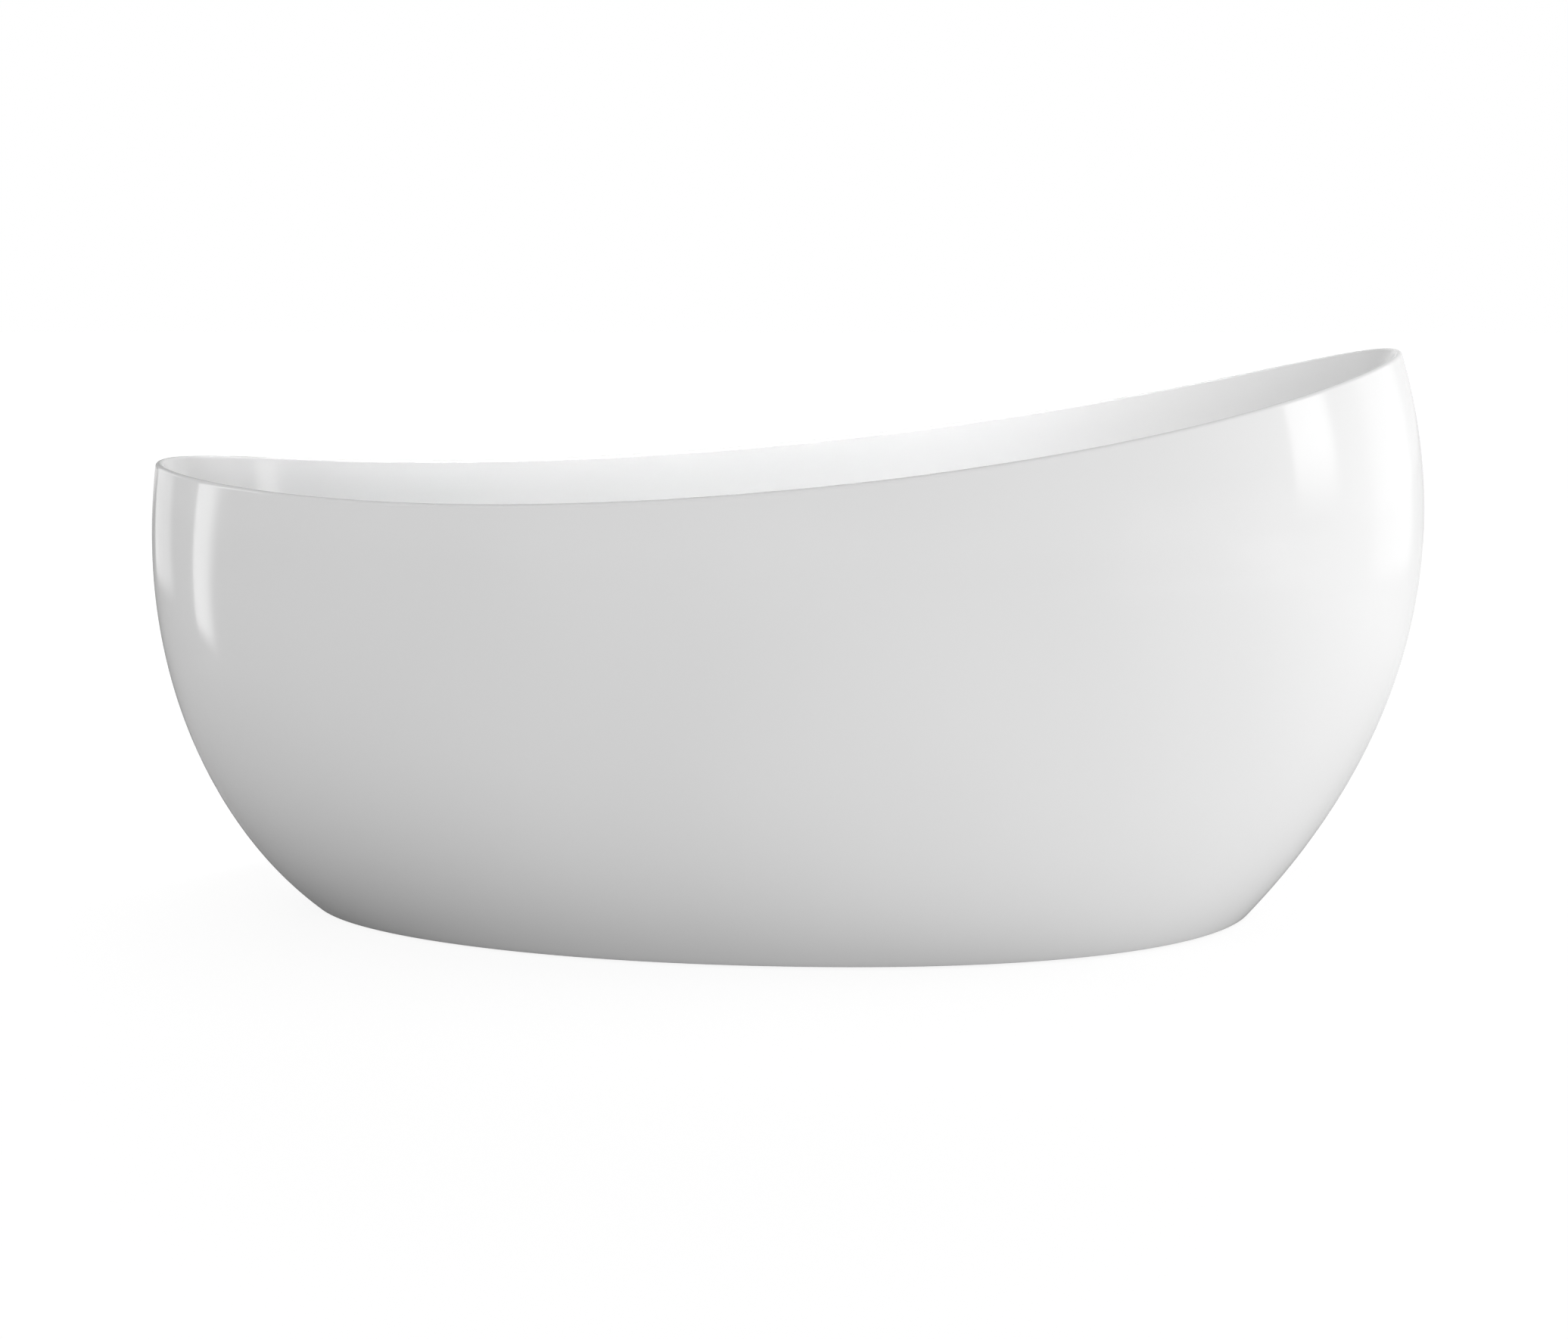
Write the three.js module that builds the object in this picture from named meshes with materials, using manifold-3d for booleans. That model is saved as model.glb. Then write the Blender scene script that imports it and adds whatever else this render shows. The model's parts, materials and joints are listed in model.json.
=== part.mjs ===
// Freestanding egg-shaped bathtub with a rim that sweeps up to the head end.
// A bathing well and an outer skirt of acrylic meet at a thin rounded rim. A welded steel frame
// on screw feet carries the well through a bedded board, and the skirt is tied to that frame.
// A rotary overflow knob lifts the drain plug, and the waste runs through a shallow trap.
// Millimetres. +X points to the head end, +Z up. The origin is on the floor under the middle.
import * as THREE from "three";
import { mergeVertices } from "three/addons/utils/BufferGeometryUtils.js";
import Module from "manifold-3d";

const wasm = await Module();
wasm.setup();

// Plan of the bath at its fullest height
const length = 1700;
const midHalfWidth = 397.5; // long axis to one side, midway along
const planExponent = 2.1; // 2 is an ellipse, more is squarer
const eggFactor = 0.1; // share by which the head end is wider than the middle

// Rim line, as heights above the foot tip, the middle and the head tip of that plan
const rimFootHeight = 611;
const rimMidHeight = 603;
const rimHeadHeight = 771;
const sweepSharpness = 0.2; // share of the sweep that comes late, near the ends

// Outer walls: height of the belly, how far the base stands in from it, how much of a quarter
// ellipse the curve below it is, and the radius of the gentle curve above it
const footBellyHeight = 470;
const footBaseInset = 202;
const footFullness = 0.87;
const footTuckRadius = 850;
const headBellyHeight = 515;
const headBaseInset = 208;
const headFullness = 0.5;
const headTuckRadius = 720;
const sideBellyHeight = 470;
const sideBaseInset = 85;
const sideFullness = 0.6;
const sideTuckRadius = 900;

// Acrylic shells
const rimWidth = 10;
const lipHeight = 10; // how far the well's rim laps down over the skirt's top edge
const skirtWall = 4.5;
const tubWall = 4.5;
const skirtClearance = 2; // skirt edge above the floor
const returnWidth = 15; // stiffening edge turned in at the foot of the skirt
const returnThickness = 5;

// Bathing well: level of the floor beside the drain, its fall, how far each wall comes in from
// the rim to the floor, how much of that is a straight lean, and how square the lower bend is.
// The sides lean as far as the overflow needs them to.
const floorHeight = 150;
const floorFall = 10;
const footReach = 300;
const headReach = 430;
const sideReach = 180;
const footLean = 0.25;
const headLean = 0.45;
const bendExponent = 2.4;

// Drain
const drainSetback = 275; // foot end of the well's floor to the drain's centre
const drainHoleRadius = 26;
const recessRadius = 38;
const recessDepth = 3;
const recessSlope = 2; // run of the recess's sloping edge
const recessFlare = 3; // how much wider the recess is underneath
const throatRadius = 25; // threaded throat of the drain flange
const throatWall = 2.5;
const throatDepth = 14; // throat below the waste body's top
const flangeRadius = 36;
const flangeSink = 0.5; // flange below the floor
const flangeSlope = 5; // depth over which the flange funnels into its throat
const spiderDepth = 12; // flange's top to the spider that guides the plug
const spiderThickness = 4;
const spiderWall = 3;
const spokeThickness = 3;
const plugRadius = 24;
const plugDome = 4.8;
const plugEdge = 1.5;
const plugNeckRadius = 16;
const plugNeckHeight = 4;
const plugTravel = 10;
const plugStemRadius = 3;
const plugStemOverrun = 8; // stem left under the spider when the plug is up
const sealRadius = 20.5;
const sealThickness = 2.5;
const gasketThickness = 3;
const wasteRadius = 30;
const wasteWall = 3;
const wasteFlange = 4;

// Overflow, on the far long side
const overflowAngle = 1.88; // where along the far side, as an angle of the plan
const overflowHeight = 455;
const overflowRoom = 36; // how far the well's wall has come in there, for the elbow behind it
const overflowHoleRadius = 25;
const overflowSeatRadius = 38;
const overflowSeatDepth = 1;
const overflowBossThickness = 3;
const overflowBossMargin = 4; // how far the boss behind the wall is wider than the seat before it
const overflowPlateRadius = 34;
const overflowPlateBore = 21;
const overflowPlateThickness = 3;
const plateSpokeWidth = 6;
const spindleRadius = 5;
const spindleBearingWall = 4;
const spindleReach = 14; // spindle behind the wall's inner face
const knobRadius = 37;
const knobHeight = 9;
const knobDish = 2; // hollow of the knob's face
const knobStandOff = 9; // open slit under the knob, where the water goes in
const scallopRadius = 9;
const scallopDepth = 3;
const elbowRadius = 23;
const elbowDepth = 27;
const elbowFlange = 3;
const elbowWall = 2.5;
const overflowPipeRadius = 12.5;
const overflowPipeBore = 10.5;
const cableRadius = 3;
const cableSide = 24; // cable beside the overflow pipe, at the elbow
const glandRadius = 6;
const glandLength = 12;

// Trap and outlet
const outletRadius = 20;
const outletBore = 17.5;
const trapBendRadius = 24;
const outletBendRadius = 26;
const outletTail = 30; // straight end of the outlet below its bend
const stubLength = 24;
const nutWall = 5;
const nutLength = 20;

// Frame of square steel tube under a board
const boardThickness = 15;
const boardHoleShare = 0.14; // board's edges, as shares of the way from the drain to the floor's edge
const boardEdgeShare = 0.9;
const tubeSize = 30;
const tubeWall = 2;
const railToStud = 24.6; // side of a rail to the nearest stud
const railOverhang = 25; // rail ends past the outer cross members
const crossMargin = 210; // end of the skirt's base to the nearest cross member
const midCrossSetback = 285; // drain to the middle cross member, clear of the trap
const crossClearance = 28; // tube end to the skirt
const bracketWidth = 28;
const bracketThickness = 3;
const bracketLap = 40; // bracket's length on the tube
const bracketRise = 35;

// Pipes between the shells and under the frame
const pipeUnderRail = 8; // rail's underside to the overflow pipe
const pipeStraight = 25; // straight end of the pipe and the cable at the elbow
const pipeDropStart = 150; // elbow's centre to where the pipe runs midway between the shells
const pipeTurnStart = 150; // above the level of the waste
const pipeTurnMiddle = 70;
const pipeTurnRun = 45;
const pipeApproach = 50; // straight end of the pipe at the waste body
const cableApproach = 30;
const cableSweep = 90;

// Screw feet
const footMargin = 56; // skirt's edge at the floor to the centre of a foot
const padRadius = 22;
const padHeight = 12;
const padEdge = 3;
const padShoulder = 8; // how much narrower the pad is at its top
const studRadius = 6;
const studSeat = 4; // thickness of the pad under the stud
const studOverrun = 18; // stud above the weld nut, for its travel
const nutRadius = 11; // across the corners
const nutHeight = 10;
const wrenchCollarRadius = 9.5;
const wrenchCollarHeight = 8;
const wrenchCollarGap = 2; // pad to the collar

// Clearances
const seatGap = 0.3; // between pieces that are bonded, clamped or slide on each other

// Facets
const ringSides = 56;
const skirtRows = 9;
const wellRows = 8;
const roundSides = 20;
const through = 30; // how far a cutter runs past what it cuts

const UP = new THREE.Vector3(0, 0, 1);

// ---------------------------------------------------------------- materials

const finish = (color, roughness, metalness) =>
  new THREE.MeshStandardMaterial({ color, roughness, metalness });
const acrylic = finish(0xf3f4f4, 0.12, 0);
const chrome = finish(0xd5d8da, 0.08, 1);
const zincSteel = finish(0xa9adb0, 0.45, 0.9);
const powderSteel = finish(0x6f7376, 0.6, 0.3);
const rubber = finish(0x26272a, 0.8, 0);
const polypropylene = finish(0xe4e4df, 0.45, 0);
const cableSheath = finish(0x3a3d42, 0.6, 0);
const boardWood = finish(0xb99a6b, 0.75, 0);

function piece(name, geometry, material) {
  const mesh = new THREE.Mesh(geometry, material);
  mesh.name = name;
  return mesh;
}

// ---------------------------------------------------------------- solids

/** Closed solid of a geometry whose shared corners are merged. */
function solid(geometry) {
  const bare = geometry.clone();
  bare.deleteAttribute("normal");
  bare.deleteAttribute("uv");
  const merged = mergeVertices(bare);
  const corners = Array.from(merged.index.array);
  const triangles = [];
  for (let i = 0; i < corners.length; i += 3) {
    const [a, b, c] = corners.slice(i, i + 3);
    if (a !== b && b !== c && c !== a) triangles.push(a, b, c);
  }
  return new wasm.Manifold(new wasm.Mesh({
    numProp: 3,
    vertProperties: new Float32Array(merged.attributes.position.array),
    triVerts: new Uint32Array(triangles),
  }));
}

/** Geometry of a solid, for a mesh. */
function geometryOf(body) {
  const mesh = body.getMesh();
  const geometry = new THREE.BufferGeometry();
  geometry.setAttribute("position", new THREE.BufferAttribute(mesh.vertProperties, 3));
  geometry.setIndex(new THREE.BufferAttribute(mesh.triVerts, 1));
  return geometry;
}

const join = (...parts) => parts.map(solid).reduce((sum, part) => sum.add(part));
const cut = (body, ...tools) => tools.map(solid).reduce((rest, tool) => rest.subtract(tool), body);

/** Box between two corners. */
function box([x0, y0, z0], [x1, y1, z1]) {
  const geometry = new THREE.BoxGeometry(x1 - x0, y1 - y0, z1 - z0);
  return geometry.translate((x0 + x1) / 2, (y0 + y1) / 2, (z0 + z1) / 2);
}

/** Upright rod between two heights. Six sides make a hexagon. */
function rod(radius, bottom, top, sides = roundSides) {
  const geometry = new THREE.CylinderGeometry(radius, radius, top - bottom, sides);
  return geometry.rotateX(Math.PI / 2).translate(0, 0, (bottom + top) / 2);
}

/** Solid of revolution about Z. The profile runs anticlockwise in radius and height. */
function turned(profile, sides = roundSides) {
  const points = profile.map(([radius, height]) => new THREE.Vector2(radius, height));
  return new THREE.LatheGeometry(points, sides).rotateX(Math.PI / 2);
}

/** Upright ring. */
const washer = (bore, radius, bottom, top, sides) => turned(
  [[bore, bottom], [radius, bottom], [radius, top], [bore, top], [bore, bottom]], sides);

/** Hexagonal nut with a round bore. */
const hexNut = (bore, radius, bottom, top) =>
  geometryOf(cut(solid(rod(radius, bottom, top, 6)), rod(bore, bottom - 1, top + 1, 16)));

/** Pipe along a path. */
function pipe(path, radius, bore, sides, steps) {
  const section = new THREE.Shape();
  const hole = new THREE.Path();
  for (let i = 0; i < sides; i++) {
    const turn = (i / sides) * 2 * Math.PI;
    const [x, y] = [Math.cos(turn), Math.sin(turn)];
    section[i ? "lineTo" : "moveTo"](radius * x, radius * y);
    hole[i ? "lineTo" : "moveTo"](bore * x, bore * y);
  }
  if (bore > 0) section.holes.push(hole);
  return new THREE.ExtrudeGeometry(section, { extrudePath: path, steps, curveSegments: 1 });
}

/** Square steel tube along X or Y, from start to end, centred on a line at (side, height). */
function squareTube(axis, start, end, side, height) {
  const half = tubeSize / 2;
  const inner = half - tubeWall;
  const square = (path, h) => path.moveTo(-h, -h).lineTo(h, -h).lineTo(h, h).lineTo(-h, h);
  const section = square(new THREE.Shape(), half);
  section.holes.push(square(new THREE.Path(), inner));
  const geometry = new THREE.ExtrudeGeometry(section, { depth: end - start, bevelEnabled: false });
  geometry.translate(0, 0, start);
  if (axis === "x") geometry.rotateX(Math.PI / 2).rotateZ(Math.PI / 2);
  else geometry.rotateX(-Math.PI / 2);
  return axis === "x" ? geometry.translate(0, side, height) : geometry.translate(side, 0, height);
}

const angles = Array.from({ length: ringSides }, (_, i) => (i / ringSides) * 2 * Math.PI);

/** Closed body whose cross-section, a loop of rings, is carried round the bath. */
function ringLoft(rings, capped = false) {
  const points = rings.flatMap((ring) => angles.map(ring));
  const at = (row, i) => row * ringSides + (i % ringSides);
  const faces = [];
  const rows = capped ? rings.length - 1 : rings.length;
  for (let row = 0; row < rows; row++) {
    const next = (row + 1) % rings.length;
    for (let i = 0; i < ringSides; i++) {
      faces.push(at(row, i), at(row, i + 1), at(next, i + 1));
      faces.push(at(row, i), at(next, i + 1), at(next, i));
    }
  }
  if (capped) {
    const last = rings.length - 1;
    for (let i = 1; i < ringSides - 1; i++) {
      faces.push(at(0, 0), at(0, i + 1), at(0, i));
      faces.push(at(last, 0), at(last, i), at(last, i + 1));
    }
  }
  const geometry = new THREE.BufferGeometry().setFromPoints(points);
  geometry.setIndex(faces);
  return geometry;
}

// ---------------------------------------------------------------- levels under the well

const boardUnder = floorHeight - tubWall - boardThickness;
const railUnder = boardUnder - tubeSize;
const crossUnder = railUnder - tubeSize;
const flangeTop = floorHeight - flangeSink;
const spiderTop = flangeTop - spiderDepth;
const spiderUnder = spiderTop - spiderThickness;
const plugUnder = flangeTop - flangeSink;
const wasteTop = floorHeight - recessDepth - tubWall;
const wasteFlangeTop = wasteTop - gasketThickness;
const pipeLevel = railUnder - overflowPipeRadius - pipeUnderRail;
const wasteUnder = pipeLevel - outletRadius - wasteWall;
const pipePortEnd = wasteRadius + stubLength;
const cableGlandEnd = wasteRadius + glandLength;
const cableTurn = (3 * Math.PI) / 4; // way out of the waste body for the cable

// ---------------------------------------------------------------- forms of the bath

const signedPower = (value, power) => Math.sign(value) * Math.abs(value) ** power;

/** How far a wall stands in from the fullest plan at a height. */
function wallProfile(belly, baseInset, fullness, tuckRadius) {
  const arcHeight = belly / fullness;
  const arcDepth = baseInset / (1 - Math.sqrt(1 - fullness ** 2));
  return (z) => (z < belly
    ? arcDepth * (1 - Math.sqrt(1 - ((belly - z) / arcHeight) ** 2))
    : (z - belly) ** 2 / (2 * tuckRadius));
}
const footWall = wallProfile(footBellyHeight, footBaseInset, footFullness, footTuckRadius);
const headWall = wallProfile(headBellyHeight, headBaseInset, headFullness, headTuckRadius);
const sideWall = wallProfile(sideBellyHeight, sideBaseInset, sideFullness, sideTuckRadius);
const outerInsets = (z) => [footWall(z), headWall(z), sideWall(z)];

/** Point of the egg-shaped plan at an angle, its foot, head and sides standing in. */
function planPoint(angle, [foot, head, side], z) {
  const along = signedPower(Math.cos(angle), 2 / planExponent);
  const across = signedPower(Math.sin(angle), 2 / planExponent);
  const footX = foot - length / 2;
  const headX = length / 2 - head;
  const x = (footX + headX) / 2 + ((headX - footX) / 2) * along;
  return new THREE.Vector3(x, (midHalfWidth - side) * across * (1 + eggFactor * along), z);
}

const outerPoint = (angle, z) => planPoint(angle, outerInsets(z), z);

/** Height of the rim line over a point of the long axis. */
function rimHeight(x) {
  const s = x / (length / 2);
  const tilt = (rimHeadHeight - rimFootHeight) / 2;
  const sweep = (rimHeadHeight + rimFootHeight) / 2 - rimMidHeight;
  return rimMidHeight + tilt * s + sweep * ((1 - sweepSharpness) * s ** 2 + sweepSharpness * s ** 4);
}

/** Height of the rim at an angle, where the outer wall meets the rim line. */
function rimHeightAt(angle) {
  let z = rimMidHeight;
  for (let round = 0; round < 12; round++) z = rimHeight(outerPoint(angle, z).x);
  return z;
}

/** Unit normal of a surface of an angle and of a value that climbs, pointing away from the bather. */
function normalOf(surface, angle, value) {
  const step = 1e-3;
  const round = surface(angle + step, value).sub(surface(angle - step, value));
  const climb = surface(angle, value + step).sub(surface(angle, value - step));
  return round.cross(climb).normalize();
}

/** Point at a depth under the outer face. */
const skirtPoint = (angle, z, depth) =>
  outerPoint(angle, z).addScaledVector(normalOf(outerPoint, angle, z), -depth);

/** Point of the rounded rim: a half circle from the outer face, at turn 0, to the inner, at pi. */
function rimPoint(angle, turn) {
  const z = rimHeightAt(angle);
  const out = normalOf(outerPoint, angle, z);
  const up = outerPoint(angle, z + 1).sub(outerPoint(angle, z - 1)).normalize();
  const radius = rimWidth / 2;
  return outerPoint(angle, z)
    .addScaledVector(out, radius * (Math.cos(turn) - 1))
    .addScaledVector(up, radius * (Math.sin(turn) - 1));
}

/** Share of the well's bend that is done at a turn of the wall. */
const bendAt = (turn) => 1 - signedPower(Math.cos(turn), 2 / bendExponent);

/** Lean of the sides that brings the wall in far enough at the overflow. */
function leanForOverflow() {
  const edge = rimPoint(overflowAngle, Math.PI);
  const depth = edge.z - floorHeight - floorFall;
  const drop = (edge.z - overflowHeight) / depth;
  const bend = bendAt(Math.asin(drop ** (bendExponent / 2)));
  return (overflowRoom - sideReach * bend) / (depth * (drop - bend));
}
const sideLean = leanForOverflow();

/** Point of the well's wall, from the floor's edge at climb 0 to the rim's inner edge at climb 1. */
function wellPoint(angle, climb) {
  const edge = rimPoint(angle, Math.PI);
  const depth = edge.z - floorHeight - floorFall;
  const turn = ((1 - climb) * Math.PI) / 2;
  const drop = signedPower(Math.sin(turn), 2 / bendExponent);
  const bend = bendAt(turn);
  const comeIn = (reach, lean) => lean * depth * drop + (reach - lean * depth) * bend;
  const top = outerInsets(rimHeightAt(angle)).map((inset) => inset + rimWidth);
  const inwards = [[footReach, footLean], [headReach, headLean], [sideReach, sideLean]]
    .map(([reach, lean]) => comeIn(reach, lean));
  const down = planPoint(angle, top.map((inset, i) => inset + inwards[i]), -depth * drop);
  return edge.add(down.sub(planPoint(angle, top, 0)));
}

const wellBack = (angle, climb) =>
  wellPoint(angle, climb).addScaledVector(normalOf(wellPoint, angle, climb), tubWall);

const floorFootX = wellPoint(Math.PI, 0).x;
const drainX = floorFootX + drainSetback;

/** Circle about the drain. */
const drainRing = (radius, z) => (angle) =>
  new THREE.Vector3(drainX + radius * Math.cos(angle), radius * Math.sin(angle), z);

/** Point of the floor, from round the drain at share 0 to its edge at 1, where its fall eases off. */
function floorPoint(angle, share, below = 0) {
  const near = drainRing(recessRadius + recessSlope + recessFlare, 0)(angle);
  return near.lerp(wellPoint(angle, 0), share).setZ(floorHeight + floorFall * share * (2 - share) - below);
}

/** Places of the floor's rings that the board under it follows, as shares of the way out. */
const boardShares = [boardHoleShare, (boardHoleShare + boardEdgeShare) / 2, boardEdgeShare];

/** Height of the skirt's top edge, under the lip of the rim. */
const skirtTop = (angle) => rimHeightAt(angle) - lipHeight;

/** Ring of the skirt's wall, at a share of its height and a depth under its outer face. */
const skirtRing = (share, depth) => (angle) =>
  skirtPoint(angle, THREE.MathUtils.lerp(skirtClearance, skirtTop(angle), share), depth);

/** Solid of the space inside the skirt, near the floor, kept clear of its inner face. */
function skirtSpace(clearance) {
  const depth = skirtWall + clearance;
  const rows = [0, 1, 2, 3, 4].map((row) => skirtRing(row / skirtRows, depth));
  return solid(ringLoft(rows, true));
}

/** Half width between the skirt's outer faces at a place along the bath and a height. */
function skirtHalfWidth(x, z) {
  let [low, high] = [0, Math.PI];
  for (let round = 0; round < 40; round++) {
    const angle = (low + high) / 2;
    if (outerPoint(angle, z).x > x) low = angle;
    else high = angle;
  }
  return outerPoint(low, z).y;
}

// ---------------------------------------------------------------- shells

function outerShell() {
  const shares = Array.from({ length: skirtRows + 1 }, (_, row) => row / skirtRows);
  const turnedIn = (z) => (angle) =>
    planPoint(angle, outerInsets(z).map((inset) => inset + skirtWall + returnWidth), z);
  const rings = [
    ...shares.map((share) => skirtRing(share, 0)),
    ...shares.slice(1).reverse().map((share) => skirtRing(share, skirtWall)),
    (angle) => skirtPoint(angle, skirtClearance + returnThickness, skirtWall),
    turnedIn(skirtClearance + returnThickness),
    turnedIn(skirtClearance),
  ];
  return piece("outer_shell", ringLoft(rings), acrylic);
}

function innerTub() {
  const rows = Array.from({ length: wellRows - 1 }, (_, row) => (row + 1) / wellRows);
  const recessTop = floorHeight - recessDepth;
  const floorShares = [...boardShares, 1];
  const lipUnder = (depth) => (angle) => skirtPoint(angle, skirtTop(angle) + seatGap, depth);
  const arc = Array.from({ length: 5 }, (_, i) => (i / 4) * Math.PI);
  const rings = [
    drainRing(drainHoleRadius, recessTop - tubWall),
    drainRing(recessRadius + recessFlare, recessTop - tubWall),
    (angle) => floorPoint(angle, 0, tubWall),
    ...floorShares.map((share) => (angle) => floorPoint(angle, share, tubWall)),
    ...rows.map((climb) => (angle) => wellBack(angle, climb)),
    lipUnder(rimWidth - tubWall),
    lipUnder(0),
    ...arc.map((turn) => (angle) => rimPoint(angle, turn)),
    ...rows.toReversed().map((climb) => (angle) => wellPoint(angle, climb)),
    ...floorShares.toReversed().map((share) => (angle) => floorPoint(angle, share)),
    drainRing(recessRadius + recessSlope, floorHeight),
    drainRing(recessRadius, recessTop),
    drainRing(drainHoleRadius, recessTop),
  ];
  const boss = rod(overflowSeatRadius + overflowBossMargin, overflowBack, -tubWall / 2);
  const seat = rod(overflowSeatRadius, -overflowSeatDepth, through);
  const hole = rod(overflowHoleRadius, -through, through);
  const shell = solid(ringLoft(rings)).add(solid(boss.applyMatrix4(overflowPlace)));
  const cutShell = cut(shell, seat.applyMatrix4(overflowPlace), hole.applyMatrix4(overflowPlace));
  return piece("inner_tub", geometryOf(cutShell), acrylic);
}

function baseBoard() {
  const top = (share) => (angle) => floorPoint(angle, share, tubWall + seatGap);
  const flat = (share) => (angle) => floorPoint(angle, share).setZ(boardUnder);
  const rings = [flat(boardHoleShare), flat(boardEdgeShare), ...boardShares.toReversed().map(top)];
  return piece("base_board", ringLoft(rings), boardWood);
}

// ---------------------------------------------------------------- place of the overflow

/** Climb at which the well's wall passes a height. */
function climbAt(angle, z) {
  let [low, high] = [0, 1];
  for (let round = 0; round < 40; round++) {
    const climb = (low + high) / 2;
    if (wellPoint(angle, climb).z < z) low = climb;
    else high = climb;
  }
  return low;
}

/** Frame of the overflow: +Z into the bath, +Y up the wall. */
function placeOverflow() {
  const climb = climbAt(overflowAngle, overflowHeight);
  const into = normalOf(wellPoint, overflowAngle, climb).negate();
  const side = UP.clone().cross(into).normalize();
  const frame = new THREE.Matrix4().makeBasis(side, into.clone().cross(side), into);
  return frame.setPosition(wellPoint(overflowAngle, climb));
}

const overflowPlace = placeOverflow();
const overflowBack = -tubWall - overflowBossThickness;
const elbowTop = overflowBack - gasketThickness - 2 * seatGap;
const elbowBottom = elbowTop - elbowDepth;
const spigotEnd = -overflowSeatRadius - overflowBossMargin - 2 - nutLength / 2;
const spigotLevel = elbowBottom + overflowPipeRadius + 1;
const glandEnd = -elbowRadius - glandLength;

/** Group whose frame is the overflow's. */
function atOverflow(...meshes) {
  const group = new THREE.Group();
  group.applyMatrix4(overflowPlace);
  group.add(...meshes);
  return group;
}

// ---------------------------------------------------------------- overflow

/** Plate screwed to the elbow through the wall: a ring with three spokes and a spindle bearing. */
function overflowPlate() {
  const bottom = seatGap - overflowSeatDepth;
  const top = bottom + overflowPlateThickness;
  const ring = washer(overflowPlateBore, overflowPlateRadius, bottom, top);
  const hub = rod(spindleRadius + spindleBearingWall, bottom, top);
  const spokes = [0, 1, 2].map((turn) => box(
    [spindleRadius + 1, -plateSpokeWidth / 2, bottom],
    [overflowPlateBore + 2, plateSpokeWidth / 2, top],
  ).rotateZ((turn / 3) * 2 * Math.PI + Math.PI / 2));
  const bearing = rod(spindleRadius + seatGap, bottom - 1, top + 1);
  return piece("overflow_plate", geometryOf(cut(join(ring, hub, ...spokes), bearing)), chrome);
}

/** Round knob that stands off the wall, with finger scallops round its edge and a spindle. */
function overflowKnob() {
  const under = overflowPlateThickness - overflowSeatDepth + knobStandOff;
  const top = under + knobHeight;
  const [edge, chamfer] = [knobHeight / 2, knobHeight / 6];
  const cap = turned([
    [0, under], [knobRadius - edge, under], [knobRadius, under + chamfer], [knobRadius, top - edge],
    [knobRadius - chamfer, top - chamfer], [knobRadius - edge, top],
    [knobRadius * 0.7, top - knobDish * 0.6], [0, top - knobDish],
  ], 32);
  const scallops = [0, 1, 2, 3, 4, 5].map((turn) => rod(scallopRadius, under - 1, top + 1, 12)
    .translate(knobRadius + scallopRadius - scallopDepth, 0, 0).rotateZ((turn / 6) * 2 * Math.PI));
  const spindle = rod(spindleRadius, -spindleReach, under + 1);
  return piece("overflow_knob", geometryOf(cut(join(cap, spindle), ...scallops)), chrome);
}

const overflowGasket = () => {
  const top = overflowBack - seatGap;
  const ring = washer(elbowRadius, overflowSeatRadius - 2, top - gasketThickness, top);
  return piece("overflow_gasket", ring, rubber);
};

/** Hollow elbow behind the wall: flange, chamber, a spigot down to the pipe and a cable gland. */
function overflowElbow() {
  const lean = (geometry, x) => geometry.rotateX(Math.PI / 2).translate(x, 0, spigotLevel);
  const body = join(
    rod(overflowSeatRadius - 2, elbowTop - elbowFlange, elbowTop),
    rod(elbowRadius, elbowBottom, elbowTop - elbowFlange / 2),
    lean(rod(overflowPipeRadius, 0, -spigotEnd), 0),
    lean(rod(glandRadius, 0, -glandEnd, 12), -cableSide),
  );
  const hollow = cut(
    body,
    rod(elbowRadius - elbowWall, elbowBottom + elbowWall, elbowTop + 1),
    lean(rod(overflowPipeBore, 0, 1 - spigotEnd), 0),
    lean(rod(cableRadius + seatGap, 0, 1 - glandEnd, 8), -cableSide),
  );
  return piece("overflow_elbow", geometryOf(hollow), polypropylene);
}

const nutOn = (radius) => radius + nutWall;

/** Union nut on a pipe along local Z, from start to start plus its length. */
const unionNut = (radius, start, length = nutLength) => geometryOf(cut(
  solid(rod(nutOn(radius), start, start + length, 8)),
  rod(radius + seatGap, start - 1, start + length + 1),
));

function overflowNut() {
  const nut = unionNut(overflowPipeRadius, -spigotEnd - nutLength / 2);
  return piece("overflow_nut", nut.rotateX(Math.PI / 2).translate(0, 0, spigotLevel), polypropylene);
}

/** Point midway between the well's wall and the skirt, on the overflow's side of the bath. */
function betweenShells(angle, z, share = 0.5) {
  const inner = wellBack(angle, climbAt(angle, z)).setZ(z);
  return inner.lerp(skirtPoint(angle, z, skirtWall).setZ(z), share);
}

/** Smooth path through points, straight out of both ends. */
const route = (points) => new THREE.CatmullRomCurve3(points, false, "centripetal");

const inOverflow = (x, y, z) => new THREE.Vector3(x, y, z).applyMatrix4(overflowPlace);

/** Pipe from the elbow down between the shells, under the rail and into the waste body. */
function overflowPipe() {
  const angle = overflowAngle + 0.02; // where the pipe hangs plumb over the drain
  const turn = betweenShells(angle, pipeLevel + pipeTurnMiddle, 0.55);
  const path = route([
    inOverflow(0, spigotEnd - seatGap, spigotLevel),
    inOverflow(0, spigotEnd - pipeStraight, spigotLevel),
    betweenShells(angle, overflowHeight - pipeDropStart),
    betweenShells(angle, pipeLevel + pipeTurnStart),
    turn,
    new THREE.Vector3(drainX, turn.y - pipeTurnRun, pipeLevel),
    new THREE.Vector3(drainX, pipePortEnd + pipeApproach, pipeLevel),
    new THREE.Vector3(drainX, pipePortEnd + seatGap, pipeLevel),
  ]);
  const tube = pipe(path, overflowPipeRadius, overflowPipeBore, 10, 20);
  return piece("overflow_pipe", tube, polypropylene);
}

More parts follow.
